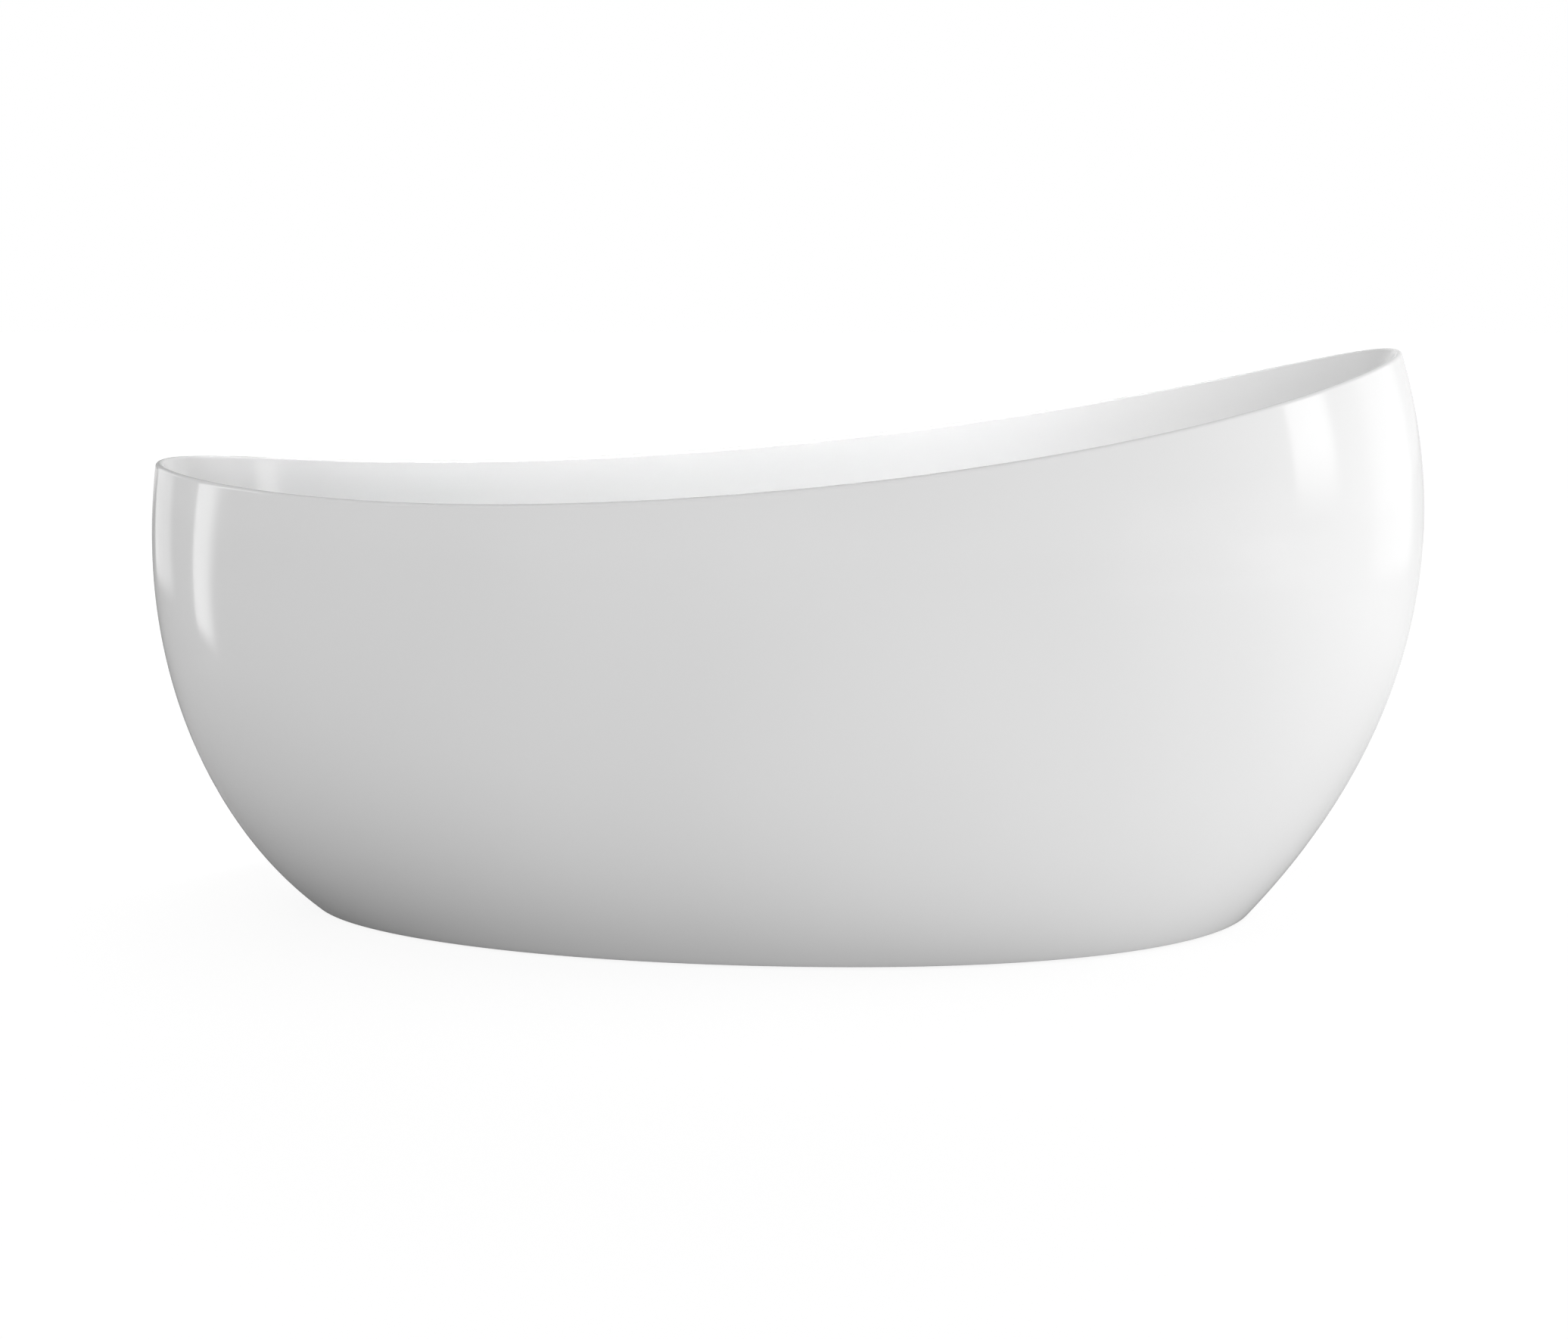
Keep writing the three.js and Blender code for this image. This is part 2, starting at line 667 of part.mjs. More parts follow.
// ---------------------------------------------------------------- waste

/** Group centred on the drain. */
function atDrain(...meshes) {
  const group = new THREE.Group();
  group.position.x = drainX;
  group.add(...meshes);
  return group;
}

/** Chrome flange in the floor's recess, its threaded throat, and a spider that guides the plug. */
function drainFlange() {
  const under = floorHeight - recessDepth;
  const end = wasteFlangeTop - throatDepth;
  const bore = throatRadius - throatWall;
  const shape = turned([
    [bore, end], [throatRadius, end], [throatRadius, under], [flangeRadius, under],
    [flangeRadius, flangeTop - 0.8], [flangeRadius - 2, flangeTop], [plugRadius + 3, flangeTop],
    [plugRadius + 1, flangeTop - 1], [bore, flangeTop - flangeSlope], [bore, end],
  ], 24);
  const hub = rod(plugStemRadius + spiderWall, spiderUnder, spiderTop, 12);
  const spokes = [0, 1, 2, 3].map((turn) => box(
    [plugStemRadius + 1, -spokeThickness / 2, spiderUnder],
    [bore + 1, spokeThickness / 2, spiderTop],
  ).rotateZ((turn / 4) * 2 * Math.PI));
  const guide = rod(plugStemRadius + seatGap, spiderUnder - 1, spiderTop + 1, 12);
  return piece("drain_flange", geometryOf(cut(join(shape, hub, ...spokes), guide)), chrome);
}

const drainGasket = () =>
  piece("drain_gasket", washer(drainHoleRadius, flangeRadius, wasteFlangeTop, wasteTop), rubber);

/** Domed plug with a stem that rides in the spider. */
function drainPlug() {
  const stemEnd = spiderUnder - plugTravel - plugStemOverrun;
  const neckEnd = plugUnder - plugNeckHeight;
  const shape = turned([
    [0, stemEnd], [plugStemRadius, stemEnd], [plugStemRadius, neckEnd],
    [plugNeckRadius, neckEnd], [plugNeckRadius, plugUnder], [plugRadius, plugUnder],
    [plugRadius, plugUnder + plugEdge], [plugRadius - 2, plugUnder + 2 * plugEdge],
    [plugRadius * 0.6, plugUnder + plugDome - 0.6], [0, plugUnder + plugDome],
  ], 24);
  return piece("drain_plug", shape, chrome);
}

/** Seal clipped round the neck under the plug. */
function plugSeal() {
  const top = plugUnder - seatGap;
  const ring = washer(plugNeckRadius + seatGap, sealRadius, top - sealThickness, top);
  return piece("plug_seal", ring, rubber);
}

/** Waste body under the floor: a cup with a port for the overflow, an outlet and a cable gland. */
function wasteBody() {
  const flange = rod(flangeRadius, wasteFlangeTop - wasteFlange, wasteFlangeTop, 24);
  const cup = rod(wasteRadius, wasteUnder, wasteFlangeTop - 1, 24);
  const port = (radius, end, sides) => rod(radius, 0, end, sides);
  const toHead = (geometry) => geometry.rotateY(Math.PI / 2).translate(0, 0, pipeLevel);
  const toFar = (geometry) => geometry.rotateX(-Math.PI / 2).translate(0, 0, pipeLevel);
  const toCable = (geometry) => toHead(geometry).rotateZ(cableTurn);
  const body = join(
    flange, cup,
    toHead(port(outletRadius, pipePortEnd)), toFar(port(overflowPipeRadius, pipePortEnd)),
    toCable(port(glandRadius, cableGlandEnd, 12)),
  );
  const hollow = cut(
    body,
    rod(throatRadius + seatGap, wasteUnder + wasteWall, wasteFlangeTop + 1, 24),
    toHead(port(outletBore, pipePortEnd + 1)), toFar(port(overflowPipeBore, pipePortEnd + 1)),
    toCable(port(cableRadius + seatGap, cableGlandEnd + 1, 8)),
  );
  return piece("waste_body", geometryOf(hollow), polypropylene);
}

const wasteInletNut = () => {
  const nut = unionNut(overflowPipeRadius, pipePortEnd - nutLength / 2);
  return piece("waste_inlet_nut", nut.rotateX(-Math.PI / 2).translate(0, 0, pipeLevel), polypropylene);
};

/** Sheath of the cable from the knob to the lifter in the waste body. */
function controlCable() {
  const angle = overflowAngle + 0.09; // beside the pipe
  const turn = betweenShells(angle, pipeLevel + pipeTurnMiddle);
  const out = new THREE.Vector3(Math.cos(cableTurn), Math.sin(cableTurn), 0);
  const gland = (reach) =>
    new THREE.Vector3(drainX, 0, pipeLevel).addScaledVector(out, cableGlandEnd + reach);
  const path = route([
    inOverflow(-cableSide, glandEnd - seatGap, spigotLevel),
    inOverflow(-cableSide - 4, glandEnd - pipeStraight, spigotLevel),
    betweenShells(angle, overflowHeight - pipeDropStart),
    betweenShells(angle, pipeLevel + pipeTurnStart),
    turn,
    new THREE.Vector3(turn.x, turn.y - pipeTurnRun, pipeLevel + cableRadius),
    gland(cableSweep).setX(turn.x),
    gland(cableApproach),
    gland(seatGap),
  ]);
  return piece("control_cable", pipe(path, cableRadius, 0, 8, 24), cableSheath);
}

// ---------------------------------------------------------------- trap

/** Points of the trap's centre line, in X and height, from its inlet: down, round and up again. */
function trapPath() {
  const r = trapBendRadius;
  const start = drainX + pipePortEnd + seatGap;
  const bends = [
    { x: stubLength, z: -r, from: 90, to: 0 },
    { x: stubLength + 2 * r, z: -r, from: 180, to: 360 },
    { x: stubLength + 4 * r, z: -r, from: 180, to: 90 },
  ];
  const points = [
    new THREE.Vector3(start, 0, pipeLevel),
    new THREE.Vector3(start + nutLength / 2, 0, pipeLevel),
  ];
  for (const { x, z, from, to } of bends) {
    const steps = Math.abs(to - from) / 30;
    for (let step = x === bends[0].x ? 0 : 1; step <= steps; step++) {
      const turn = THREE.MathUtils.degToRad(from + ((to - from) * step) / steps);
      const [across, up] = [r * Math.cos(turn), r * Math.sin(turn)];
      points.push(new THREE.Vector3(start + x + across, 0, pipeLevel + z + up));
    }
  }
  points.push(new THREE.Vector3(trapEnd - nutLength / 2, 0, pipeLevel));
  points.push(new THREE.Vector3(trapEnd, 0, pipeLevel));
  return route(points);
}

const trapEnd = drainX + pipePortEnd + seatGap + 2 * stubLength + 4 * trapBendRadius;

const trapBend = () =>
  piece("trap_bend", pipe(trapPath(), outletRadius, outletBore, 12, 18), polypropylene);

/** Union nut on a horizontal outlet joint at a place along the bath. */
const outletNut = (name, x) => piece(
  name,
  unionNut(outletRadius, x - nutLength / 2).rotateY(Math.PI / 2).translate(0, 0, pipeLevel),
  polypropylene,
);

/** Elbow that turns the outlet down towards the floor drain. */
function outletElbow() {
  const r = outletBendRadius;
  const [start, z] = [trapEnd + seatGap, pipeLevel];
  const straight = nutLength / 2;
  const centre = start + straight + 4;
  const points = [new THREE.Vector3(start, 0, z), new THREE.Vector3(start + straight, 0, z)];
  for (const degrees of [90, 60, 30, 0]) {
    const turn = THREE.MathUtils.degToRad(degrees);
    points.push(new THREE.Vector3(centre + r * Math.cos(turn), 0, z - r + r * Math.sin(turn)));
  }
  points.push(new THREE.Vector3(centre + r, 0, z - r - outletTail));
  const tube = pipe(route(points), outletRadius, outletBore, 12, 9);
  return piece("outlet_elbow", tube, polypropylene);
}

// ---------------------------------------------------------------- frame and feet

const baseHalf = length / 2;
const crosses = [
  { name: "foot_end", x: footWall(0) - baseHalf + crossMargin, feet: "pair" },
  { name: "middle", x: drainX + midCrossSetback, feet: "single" },
  { name: "head_end", x: baseHalf - headWall(0) - crossMargin, feet: "pair" },
];

/** Sideways places of the feet under a cross member. */
function feetOf({ x, feet }) {
  if (feet === "single") return [0];
  const side = skirtHalfWidth(x, 0) - footMargin;
  return [-side, side];
}

/** Square tube across the bath, with a nut welded over each foot's hole. */
function crossMember(cross) {
  const half = skirtHalfWidth(cross.x, crossUnder) - skirtWall - crossClearance;
  const tube = squareTube("y", -half, half, cross.x, crossUnder + tubeSize / 2);
  const nuts = [];
  const holes = [];
  for (const y of feetOf(cross)) {
    const top = crossUnder + tubeSize;
    const nut = rod(nutRadius, top - tubeWall / 2, top + nutHeight, 6);
    const hole = rod(studRadius + seatGap, crossUnder - 1, top + nutHeight + 1, 16);
    nuts.push(nut.translate(cross.x, y, 0));
    holes.push(hole.translate(cross.x, y, 0));
  }
  return piece(`cross_member_${cross.name}`, geometryOf(cut(join(tube, ...nuts), ...holes)), powderSteel);
}

/** Square tube along the bath, beside the studs of the narrower end. */
function rail(name, side) {
  const [start, end] = [crosses[0].x - railOverhang, crosses[2].x + railOverhang];
  const across = feetOf(crosses[0])[1] - studRadius - railToStud - tubeSize / 2;
  const tube = squareTube("x", start, end, side * across, railUnder + tubeSize / 2);
  return piece(`${name}_rail`, tube, powderSteel);
}

/** Steel bracket from the end of a cross member, with a tab shaped to the skirt's inner face. */
function skirtBracket(cross, side) {
  const top = crossUnder + tubeSize;
  const reach = skirtHalfWidth(cross.x, top) + 30;
  const tubeEnd = skirtHalfWidth(cross.x, crossUnder) - skirtWall - crossClearance;
  const across = (from, to) => [Math.min(side * from, side * to), Math.max(side * from, side * to)];
  const [x0, x1] = [cross.x - bracketWidth / 2, cross.x + bracketWidth / 2];
  const [legLow, legHigh] = across(tubeEnd - bracketLap, reach);
  const [tabLow, tabHigh] = across(reach - 90, reach);
  const leg = solid(box([x0, legLow, top], [x1, legHigh, top + bracketThickness]));
  const tab = solid(box([x0, tabLow, top], [x1, tabHigh, top + bracketRise]));
  const inside = skirtSpace(seatGap);
  const shaped = tab.intersect(inside).subtract(skirtSpace(seatGap + bracketThickness));
  const bracket = leg.intersect(inside).add(shaped);
  return piece(`skirt_bracket_${cross.name}_${side < 0 ? "near" : "far"}`, geometryOf(bracket), zincSteel);
}

/** Screw foot: a pad, a stud that turns in it, and a lock nut under the cross member. */
function screwFoot(name, x, y) {
  const socket = studRadius + seatGap;
  const pad = turned([
    [0, 0], [padRadius, 0], [padRadius, padEdge], [padRadius - padShoulder, padHeight],
    [socket, padHeight], [socket, studSeat], [0, studSeat],
  ], 16);
  const studEnd = crossUnder + tubeSize + nutHeight + studOverrun;
  const collar = padHeight + wrenchCollarGap;
  const stud = join(
    rod(studRadius, studSeat + seatGap, studEnd, 16),
    rod(wrenchCollarRadius, collar, collar + wrenchCollarHeight, 6),
  );
  const lockNut = hexNut(studRadius + seatGap, nutRadius, crossUnder - nutHeight, crossUnder);
  const group = new THREE.Group();
  group.position.set(x, y, 0);
  group.add(
    piece(`foot_pad_${name}`, pad, rubber),
    piece(`foot_stud_${name}`, geometryOf(stud), zincSteel),
    piece(`lock_nut_${name}`, lockNut, zincSteel),
  );
  return group;
}

function frame() {
  const group = new THREE.Group();
  group.add(rail("near", -1), rail("far", 1));
  for (const cross of crosses) {
    group.add(crossMember(cross), skirtBracket(cross, -1), skirtBracket(cross, 1));
    for (const y of feetOf(cross)) {
      const side = y ? `_${y < 0 ? "near" : "far"}` : "";
      group.add(screwFoot(cross.name + side, cross.x, y));
    }
  }
  return group;
}

// ---------------------------------------------------------------- bath

const bath = new THREE.Group();
bath.add(
  outerShell(),
  innerTub(),
  baseBoard(),
  frame(),
  atOverflow(overflowPlate(), overflowKnob(), overflowGasket(), overflowElbow(), overflowNut()),
  overflowPipe(),
  controlCable(),
  atDrain(drainFlange(), drainGasket(), drainPlug(), plugSeal(), wasteBody(), wasteInletNut()),
  outletNut("trap_inlet_nut", drainX + pipePortEnd),
  trapBend(),
  outletNut("trap_outlet_nut", trapEnd),
  outletElbow(),
);

export default bath;
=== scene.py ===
"""Egg-shaped freestanding acrylic bath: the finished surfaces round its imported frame.

Metres, +X to the raised head end, +Y to the overflow's side, +Z up, with the origin on the floor
under the middle of the bath.
"""

import json
import math

import bmesh
import bpy
import numpy as np
from mathutils import Matrix, Vector


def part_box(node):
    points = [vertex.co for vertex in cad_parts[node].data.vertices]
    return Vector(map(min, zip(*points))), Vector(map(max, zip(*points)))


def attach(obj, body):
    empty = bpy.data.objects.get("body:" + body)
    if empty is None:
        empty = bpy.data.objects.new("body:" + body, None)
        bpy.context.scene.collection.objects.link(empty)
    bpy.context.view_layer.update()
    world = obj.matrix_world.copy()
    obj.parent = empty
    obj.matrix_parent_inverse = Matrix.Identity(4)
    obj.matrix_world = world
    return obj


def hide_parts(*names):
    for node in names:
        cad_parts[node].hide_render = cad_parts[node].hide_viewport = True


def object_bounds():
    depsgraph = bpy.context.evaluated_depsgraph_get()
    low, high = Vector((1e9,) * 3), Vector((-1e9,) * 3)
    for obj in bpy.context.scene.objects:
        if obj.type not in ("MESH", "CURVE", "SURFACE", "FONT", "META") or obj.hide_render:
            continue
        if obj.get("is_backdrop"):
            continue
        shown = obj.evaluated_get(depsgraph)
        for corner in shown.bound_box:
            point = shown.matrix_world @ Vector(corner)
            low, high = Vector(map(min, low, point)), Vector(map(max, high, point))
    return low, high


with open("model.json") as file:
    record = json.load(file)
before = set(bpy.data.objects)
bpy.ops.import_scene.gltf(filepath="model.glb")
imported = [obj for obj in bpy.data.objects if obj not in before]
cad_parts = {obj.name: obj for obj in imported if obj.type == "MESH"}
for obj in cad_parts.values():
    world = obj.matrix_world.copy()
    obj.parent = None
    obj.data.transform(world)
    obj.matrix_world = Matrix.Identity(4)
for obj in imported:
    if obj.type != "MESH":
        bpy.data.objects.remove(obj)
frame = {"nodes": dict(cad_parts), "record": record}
cad_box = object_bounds()

MM = 0.001
TURN = 2 * math.pi
SOFT_EDGE = math.radians(35)

# Plan of the bath at its fullest height
LENGTH = 1.7
MID_HALF_WIDTH = 0.3975
PLAN_EXPONENT = 2.1
EGG_FACTOR = 0.1

# Rim line over the foot tip, the middle and the head tip, and how late its sweep comes
RIM_FOOT, RIM_MID, RIM_HEAD = 0.611, 0.603, 0.771
SWEEP_SHARPNESS = 0.2

# Outer walls: belly height, base inset, fullness of the curve below it, radius of the one above
FOOT_WALL = (0.470, 0.202, 0.87, 0.85)
HEAD_WALL = (0.515, 0.208, 0.5, 0.72)
SIDE_WALL = (0.470, 0.085, 0.6, 0.9)

# Acrylic shells
RIM_WIDTH = 10 * MM
LIP_HEIGHT = 10 * MM
WALL = 4.5 * MM
SKIRT_CLEARANCE = 2 * MM
RETURN_WIDTH = 15 * MM
RETURN_THICKNESS = 5 * MM
EDGE_RADIUS = 1.5 * MM

# Bathing well: its floor and fall, and the reach and lean of the foot, head and side walls
FLOOR_HEIGHT = 0.150
FLOOR_FALL = 10 * MM
REACH_FOOT, REACH_HEAD, REACH_SIDE = 0.300, 0.430, 0.180
LEAN_FOOT, LEAN_HEAD = 0.25, 0.45
BEND_EXPONENT = 2.4

# Drain
DRAIN_SETBACK = 0.275
DRAIN_HOLE = 26 * MM
RECESS_RADIUS, RECESS_SLOPE, RECESS_DEPTH, RECESS_FLARE = 38 * MM, 2 * MM, 3 * MM, 3 * MM
THROAT_RADIUS, THROAT_BORE, THROAT_END = 25 * MM, 22.5 * MM, 130 * MM
SLEEVE_LENGTH = 14 * MM
FLANGE_RADIUS = 36 * MM
FLANGE_TOP = FLOOR_HEIGHT - 0.5 * MM
SPIDER_TOP = FLANGE_TOP - 12 * MM
SPIDER_UNDER = SPIDER_TOP - 4 * MM
PLUG_RADIUS, PLUG_NECK, PLUG_STEM = 24 * MM, 16 * MM, 3 * MM
PLUG_UNDER = FLANGE_TOP - 0.5 * MM
PLUG_EDGE, PLUG_CROWN, PLUG_FALL, NECK_LENGTH = 1.5 * MM, 4.8 * MM, 1.8 * MM, 4 * MM
SEAL_RADIUS, SEAL_HEIGHT = 20.5 * MM, 2.5 * MM
PLUG_TRAVEL, STEM_SPARE = 10 * MM, 8 * MM
STEM_END = SPIDER_UNDER - PLUG_TRAVEL - STEM_SPARE
GASKET = 3 * MM
WASTE_RADIUS, WASTE_WALL = 30 * MM, 3 * MM

# Overflow on the far side
OVERFLOW_ANGLE = 1.88
OVERFLOW_HEIGHT = 0.455
OVERFLOW_ROOM = 36 * MM
OVERFLOW_HOLE = 25 * MM
SEAT_RADIUS, SEAT_DEPTH = 38 * MM, 1 * MM
BOSS_THICKNESS, BOSS_MARGIN = 3 * MM, 4 * MM
PLATE_RADIUS, PLATE_BORE, PLATE_THICKNESS = 34 * MM, 21 * MM, 3 * MM
SPINDLE_RADIUS, SPINDLE_REACH = 5 * MM, 14 * MM
KNOB_RADIUS, KNOB_HEIGHT, KNOB_STAND_OFF, KNOB_DISH = 37 * MM, 9 * MM, 9 * MM, 2 * MM
SCALLOPS, SCALLOP_RADIUS, SCALLOP_DEPTH = 6, 9 * MM, 3 * MM
ELBOW_RADIUS, ELBOW_DEPTH, ELBOW_FLANGE, ELBOW_WALL = 23 * MM, 27 * MM, 3 * MM, 2.5 * MM
GASKET_RADIUS = SEAT_RADIUS - 2 * MM
PIPE_RADIUS, PIPE_BORE = 12.5 * MM, 10.5 * MM
CABLE_RADIUS = 3 * MM
CABLE_SIDE = 24 * MM
GLAND_RADIUS, GLAND_LENGTH = 6 * MM, 12 * MM

# Trap, nuts and outlet
OUTLET_RADIUS, OUTLET_BORE = 20 * MM, 17.5 * MM
TRAP_BEND, OUTLET_BEND, OUTLET_TAIL = 24 * MM, 26 * MM, 30 * MM
STUB = 24 * MM
NUT_WALL, NUT_LENGTH = 5 * MM, 20 * MM

# Frame and feet
BOARD_THICKNESS = 15 * MM
BOARD_INNER, BOARD_OUTER = 0.14, 0.9
TUBE, TUBE_WALL = 30 * MM, 2 * MM
PAD_RADIUS, PAD_HEIGHT, PAD_SEAT = 22 * MM, 12 * MM, 4 * MM
STUD_RADIUS, THREAD_PITCH, STUD_SPARE = 6 * MM, 1.75 * MM, 18 * MM
COLLAR_RADIUS, COLLAR_HEIGHT = 9.5 * MM, 8 * MM
NUT_RADIUS, NUT_HEIGHT = 11 * MM, 10 * MM
WELD_HALF_LENGTH, WELD_RADIUS, WELD_RIPPLES = 13 * MM, 2.6 * MM, 9
SCREW_RADIUS, SCREW_SOCKET, BRACKET_THICKNESS = 5 * MM, 2.3 * MM, 3 * MM

# Room between pieces that only rest on each other, and how far a cutting form goes past its piece
SEAT_GAP = 0.3 * MM
PAST = 1 * MM
THROUGH = 30 * MM

# Fineness of the surfaces
COLUMNS = 400
SKIRT_ROWS = 120
WELL_ROWS = 96
FLOOR_ROWS = 36
RIM_ROWS = 20
ROUND, FINE_ROUND, FINEST_ROUND = 64, 96, 128

# Values between which nearly all of a noise lies
NOISE_MIDDLE = (0.3, 0.7)

# Studio: light that falls on the bath from all round, and the painted reflections that its gloss
# shows of the sky (in general, and brighter on the window's side) and of the floor
AMBIENT, SKY_MIRRORED, SKY_PAINTED_REFLECTION_BACK, FLOOR_PAINTED_REFLECTION = 0.15, 0.3, 0.9, 0.15
# Floor: its own colour, how white it looks beside the bath, where its glow is kept lower as a
# painted shade, and the painted bounce light that it throws up at the bath, a glow for scattered rays
FLOOR_TONE, FLOOR_GLOW_PAINTED_SHADE, FLOOR_PAINTED_BOUNCE = (0.18, 0.18, 0.18, 1.0), 0.88, 0.33
FLOOR_REACH = 40.0
# Way to the head and the back, where the painted reflections of sky and floor are brightest
TO_WINDOW = (math.sqrt(0.5), math.sqrt(0.5), 0)

SIDES = ("near", "far")


# -------- meshes


def woven(name, points, materials=(), backed=None, sharp=SOFT_EDGE):
    """Closed mesh of a grid of points whose rows and columns both join round.

    Equal neighbours, as at a pole, are merged, and the faces are turned outwards. Rows marked in
    backed take the second material.
    """
    rows, columns = points.shape[:2]
    at = np.arange(rows * columns).reshape(rows, columns)
    below = np.roll(at, -1, axis=0)
    quads = np.stack([at, np.roll(at, -1, axis=1), np.roll(below, -1, axis=1), below], axis=-1)
    mesh = bpy.data.meshes.new(name)
    mesh.from_pydata(points.reshape(-1, 3), [], quads.reshape(-1, 4))
    for material in materials:
        mesh.materials.append(material)
    if backed is not None:
        mesh.polygons.foreach_set("material_index", np.repeat(backed.astype(np.int32), columns))
    shell = bmesh.new()
    shell.from_mesh(mesh)
    bmesh.ops.remove_doubles(shell, verts=shell.verts, dist=1e-7)
    bare = [edge for edge in shell.edges if not edge.link_faces]
    bmesh.ops.delete(shell, geom=bare, context="EDGES")
    bmesh.ops.recalc_face_normals(shell, faces=shell.faces)
    shell.to_mesh(mesh)
    shell.free()
    mesh.shade_smooth()
    mesh.set_sharp_from_angle(angle=sharp)
    return mesh


def as_mesh(name, shape, **options):
    """A mesh as it is, or a grid of points woven into one."""
    return shape if isinstance(shape, bpy.types.Mesh) else woven(name, shape, **options)


def combined(name, body, joined=(), cut=()):
    """Mesh of a closed body with some closed forms joined to it and others cut out of it."""
    parts = []
    for mode, shapes in (("UNION", [body]), ("UNION", joined), ("DIFFERENCE", cut)):
        for shape in shapes:
            part = bpy.data.objects.new("part", as_mesh("part", shape))
            bpy.context.scene.collection.objects.link(part)
            parts.append(part)
            if part is not parts[0]:
                step = parts[0].modifiers.new("step", "BOOLEAN")
                step.operation, step.solver, step.object = mode, "MANIFOLD", part
                step.material_mode = "TRANSFER"
    whole = parts[0].evaluated_get(bpy.context.evaluated_depsgraph_get())
    mesh = bpy.data.meshes.new_from_object(whole)
    mesh.name = name
    for part in parts:
        bpy.data.objects.remove(part)
    mesh.shade_smooth()
    mesh.set_sharp_from_angle(angle=SOFT_EDGE)
    return mesh


def add_piece(name, shape, slot, node=None, body="bath", **options):
    """Puts a finished mesh or a grid of points into the scene, in its slot's finish unless it has
    its own. It rides on a body, and may stand for a CAD node."""
    mesh = as_mesh(name, shape, **options)
    piece = bpy.data.objects.new(name, mesh)
    bpy.context.scene.collection.objects.link(piece)
    if not any(mesh.materials):
        mesh.materials.clear()
        mesh.materials.append(FINISH_OF_SLOT[slot])
    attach(piece, body)
    if node:
        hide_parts(node)


# -------- forms of the bath


def around(count):
    """Even angles round a full turn."""
    return np.arange(count) / count * TURN


def about_z(radius, height, angle):
    """Circles about Z: radius times the angle's cosine and sine, at a height. Radius and height
    may change from ring to ring and round the turn."""
    points = np.broadcast_arrays(radius * np.cos(angle), radius * np.sin(angle), height)
    return np.stack(points, axis=-1)


def unit(vectors):
    """Vectors over their lengths."""
    return vectors / np.linalg.norm(vectors, axis=-1, keepdims=True)


def signed_power(value, power):
    """Power of a value's size, with the value's own sign."""
    return np.sign(value) * np.abs(value) ** power


def inset(z, belly, base_inset, fullness, tuck_radius):
    """How far a wall stands in at height z: part of a quarter ellipse below the belly, and a
    parabola with the tuck's radius above it."""
    arc_height = belly / fullness
    arc_depth = base_inset / (1 - math.sqrt(1 - fullness**2))
    below = arc_depth * (1 - np.sqrt(1 - (np.maximum(belly - z, 0) / arc_height) ** 2))
    return np.where(z < belly, below, (z - belly) ** 2 / (2 * tuck_radius))


def outer_insets(z):
    """Insets of the foot's, the head's and the sides' walls at height z."""
    return tuple(inset(z, *wall) for wall in (FOOT_WALL, HEAD_WALL, SIDE_WALL))


def plan_point(angle, insets, z):
    """Superellipse in plan, wider towards the head by the egg factor, its foot, head and sides
    standing in by the three insets."""
    foot, head, side = insets
    along = signed_power(np.cos(angle), 2 / PLAN_EXPONENT)
    across = signed_power(np.sin(angle), 2 / PLAN_EXPONENT)
    foot_x, head_x = foot - LENGTH / 2, LENGTH / 2 - head
    x = (foot_x + head_x) / 2 + (head_x - foot_x) / 2 * along
    y = (MID_HALF_WIDTH - side) * across * (1 + EGG_FACTOR * along)
    return np.stack(np.broadcast_arrays(x, y, z), axis=-1)


def outer_point(angle, z):
    """Skirt's outer face: the plan that the walls leave at height z."""
    return plan_point(angle, outer_insets(z), z)


def rim_height(angle):
    """Height where the outer wall meets the rim line, which tilts up to the head and sweeps up to
    both ends by a parabola with some fourth power in it. Found by repeating, as the wall's place
    depends on the height."""
    tilt, sweep = (RIM_HEAD - RIM_FOOT) / 2, (RIM_HEAD + RIM_FOOT) / 2 - RIM_MID
    z = np.full_like(angle, RIM_MID)
    for _ in range(20):
        s = outer_point(angle, z)[..., 0] / (LENGTH / 2)
        curve = (1 - SWEEP_SHARPNESS) * s**2 + SWEEP_SHARPNESS * s**4
        z = RIM_MID + tilt * s + sweep * curve
    return z


def normal_of(surface, angle, value, step=1e-5):
    """Unit normal of a surface of an angle and of a value that climbs, away from the bather: the
    cross product of its two small steps."""
    round_it = surface(angle + step, value) - surface(angle - step, value)
    up_it = surface(angle, value + step) - surface(angle, value - step)
    return unit(np.cross(round_it, up_it))


def skirt_point(angle, z, depth):
    """Point at a depth under the outer face, along its normal."""
    return outer_point(angle, z) - depth * normal_of(outer_point, angle, z)


def rim_frame(angle):
    """Rim line's height, the outer face's normal there, and the way up the face."""
    z = rim_height(angle)
    up = unit(outer_point(angle, z + MM) - outer_point(angle, z - MM))
    return z, normal_of(outer_point, angle, z), up


def rim_point(angle, turn):
    """Rounded rim: a half circle from the outer face, at turn 0, to the inner one, at turn pi."""
    z, out, up = rim_frame(angle)
    radius = RIM_WIDTH / 2
    turn = np.broadcast_to(turn, z.shape)[..., None]
    return (outer_point(angle, z) + radius * (np.cos(turn) - 1) * out
            + radius * (np.sin(turn) - 1) * up)


def lean_for_overflow():
    """Lean of the sides that brings the wall in by the overflow's room at its height."""
    edge = rim_point(np.array([OVERFLOW_ANGLE]), math.pi)[0, 2]
    depth = edge - FLOOR_HEIGHT - FLOOR_FALL
    drop = (edge - OVERFLOW_HEIGHT) / depth
    bend = 1 - math.cos(math.asin(drop ** (BEND_EXPONENT / 2))) ** (2 / BEND_EXPONENT)
    return (OVERFLOW_ROOM - REACH_SIDE * bend) / (depth * (drop - bend))


LEAN_SIDE = lean_for_overflow()


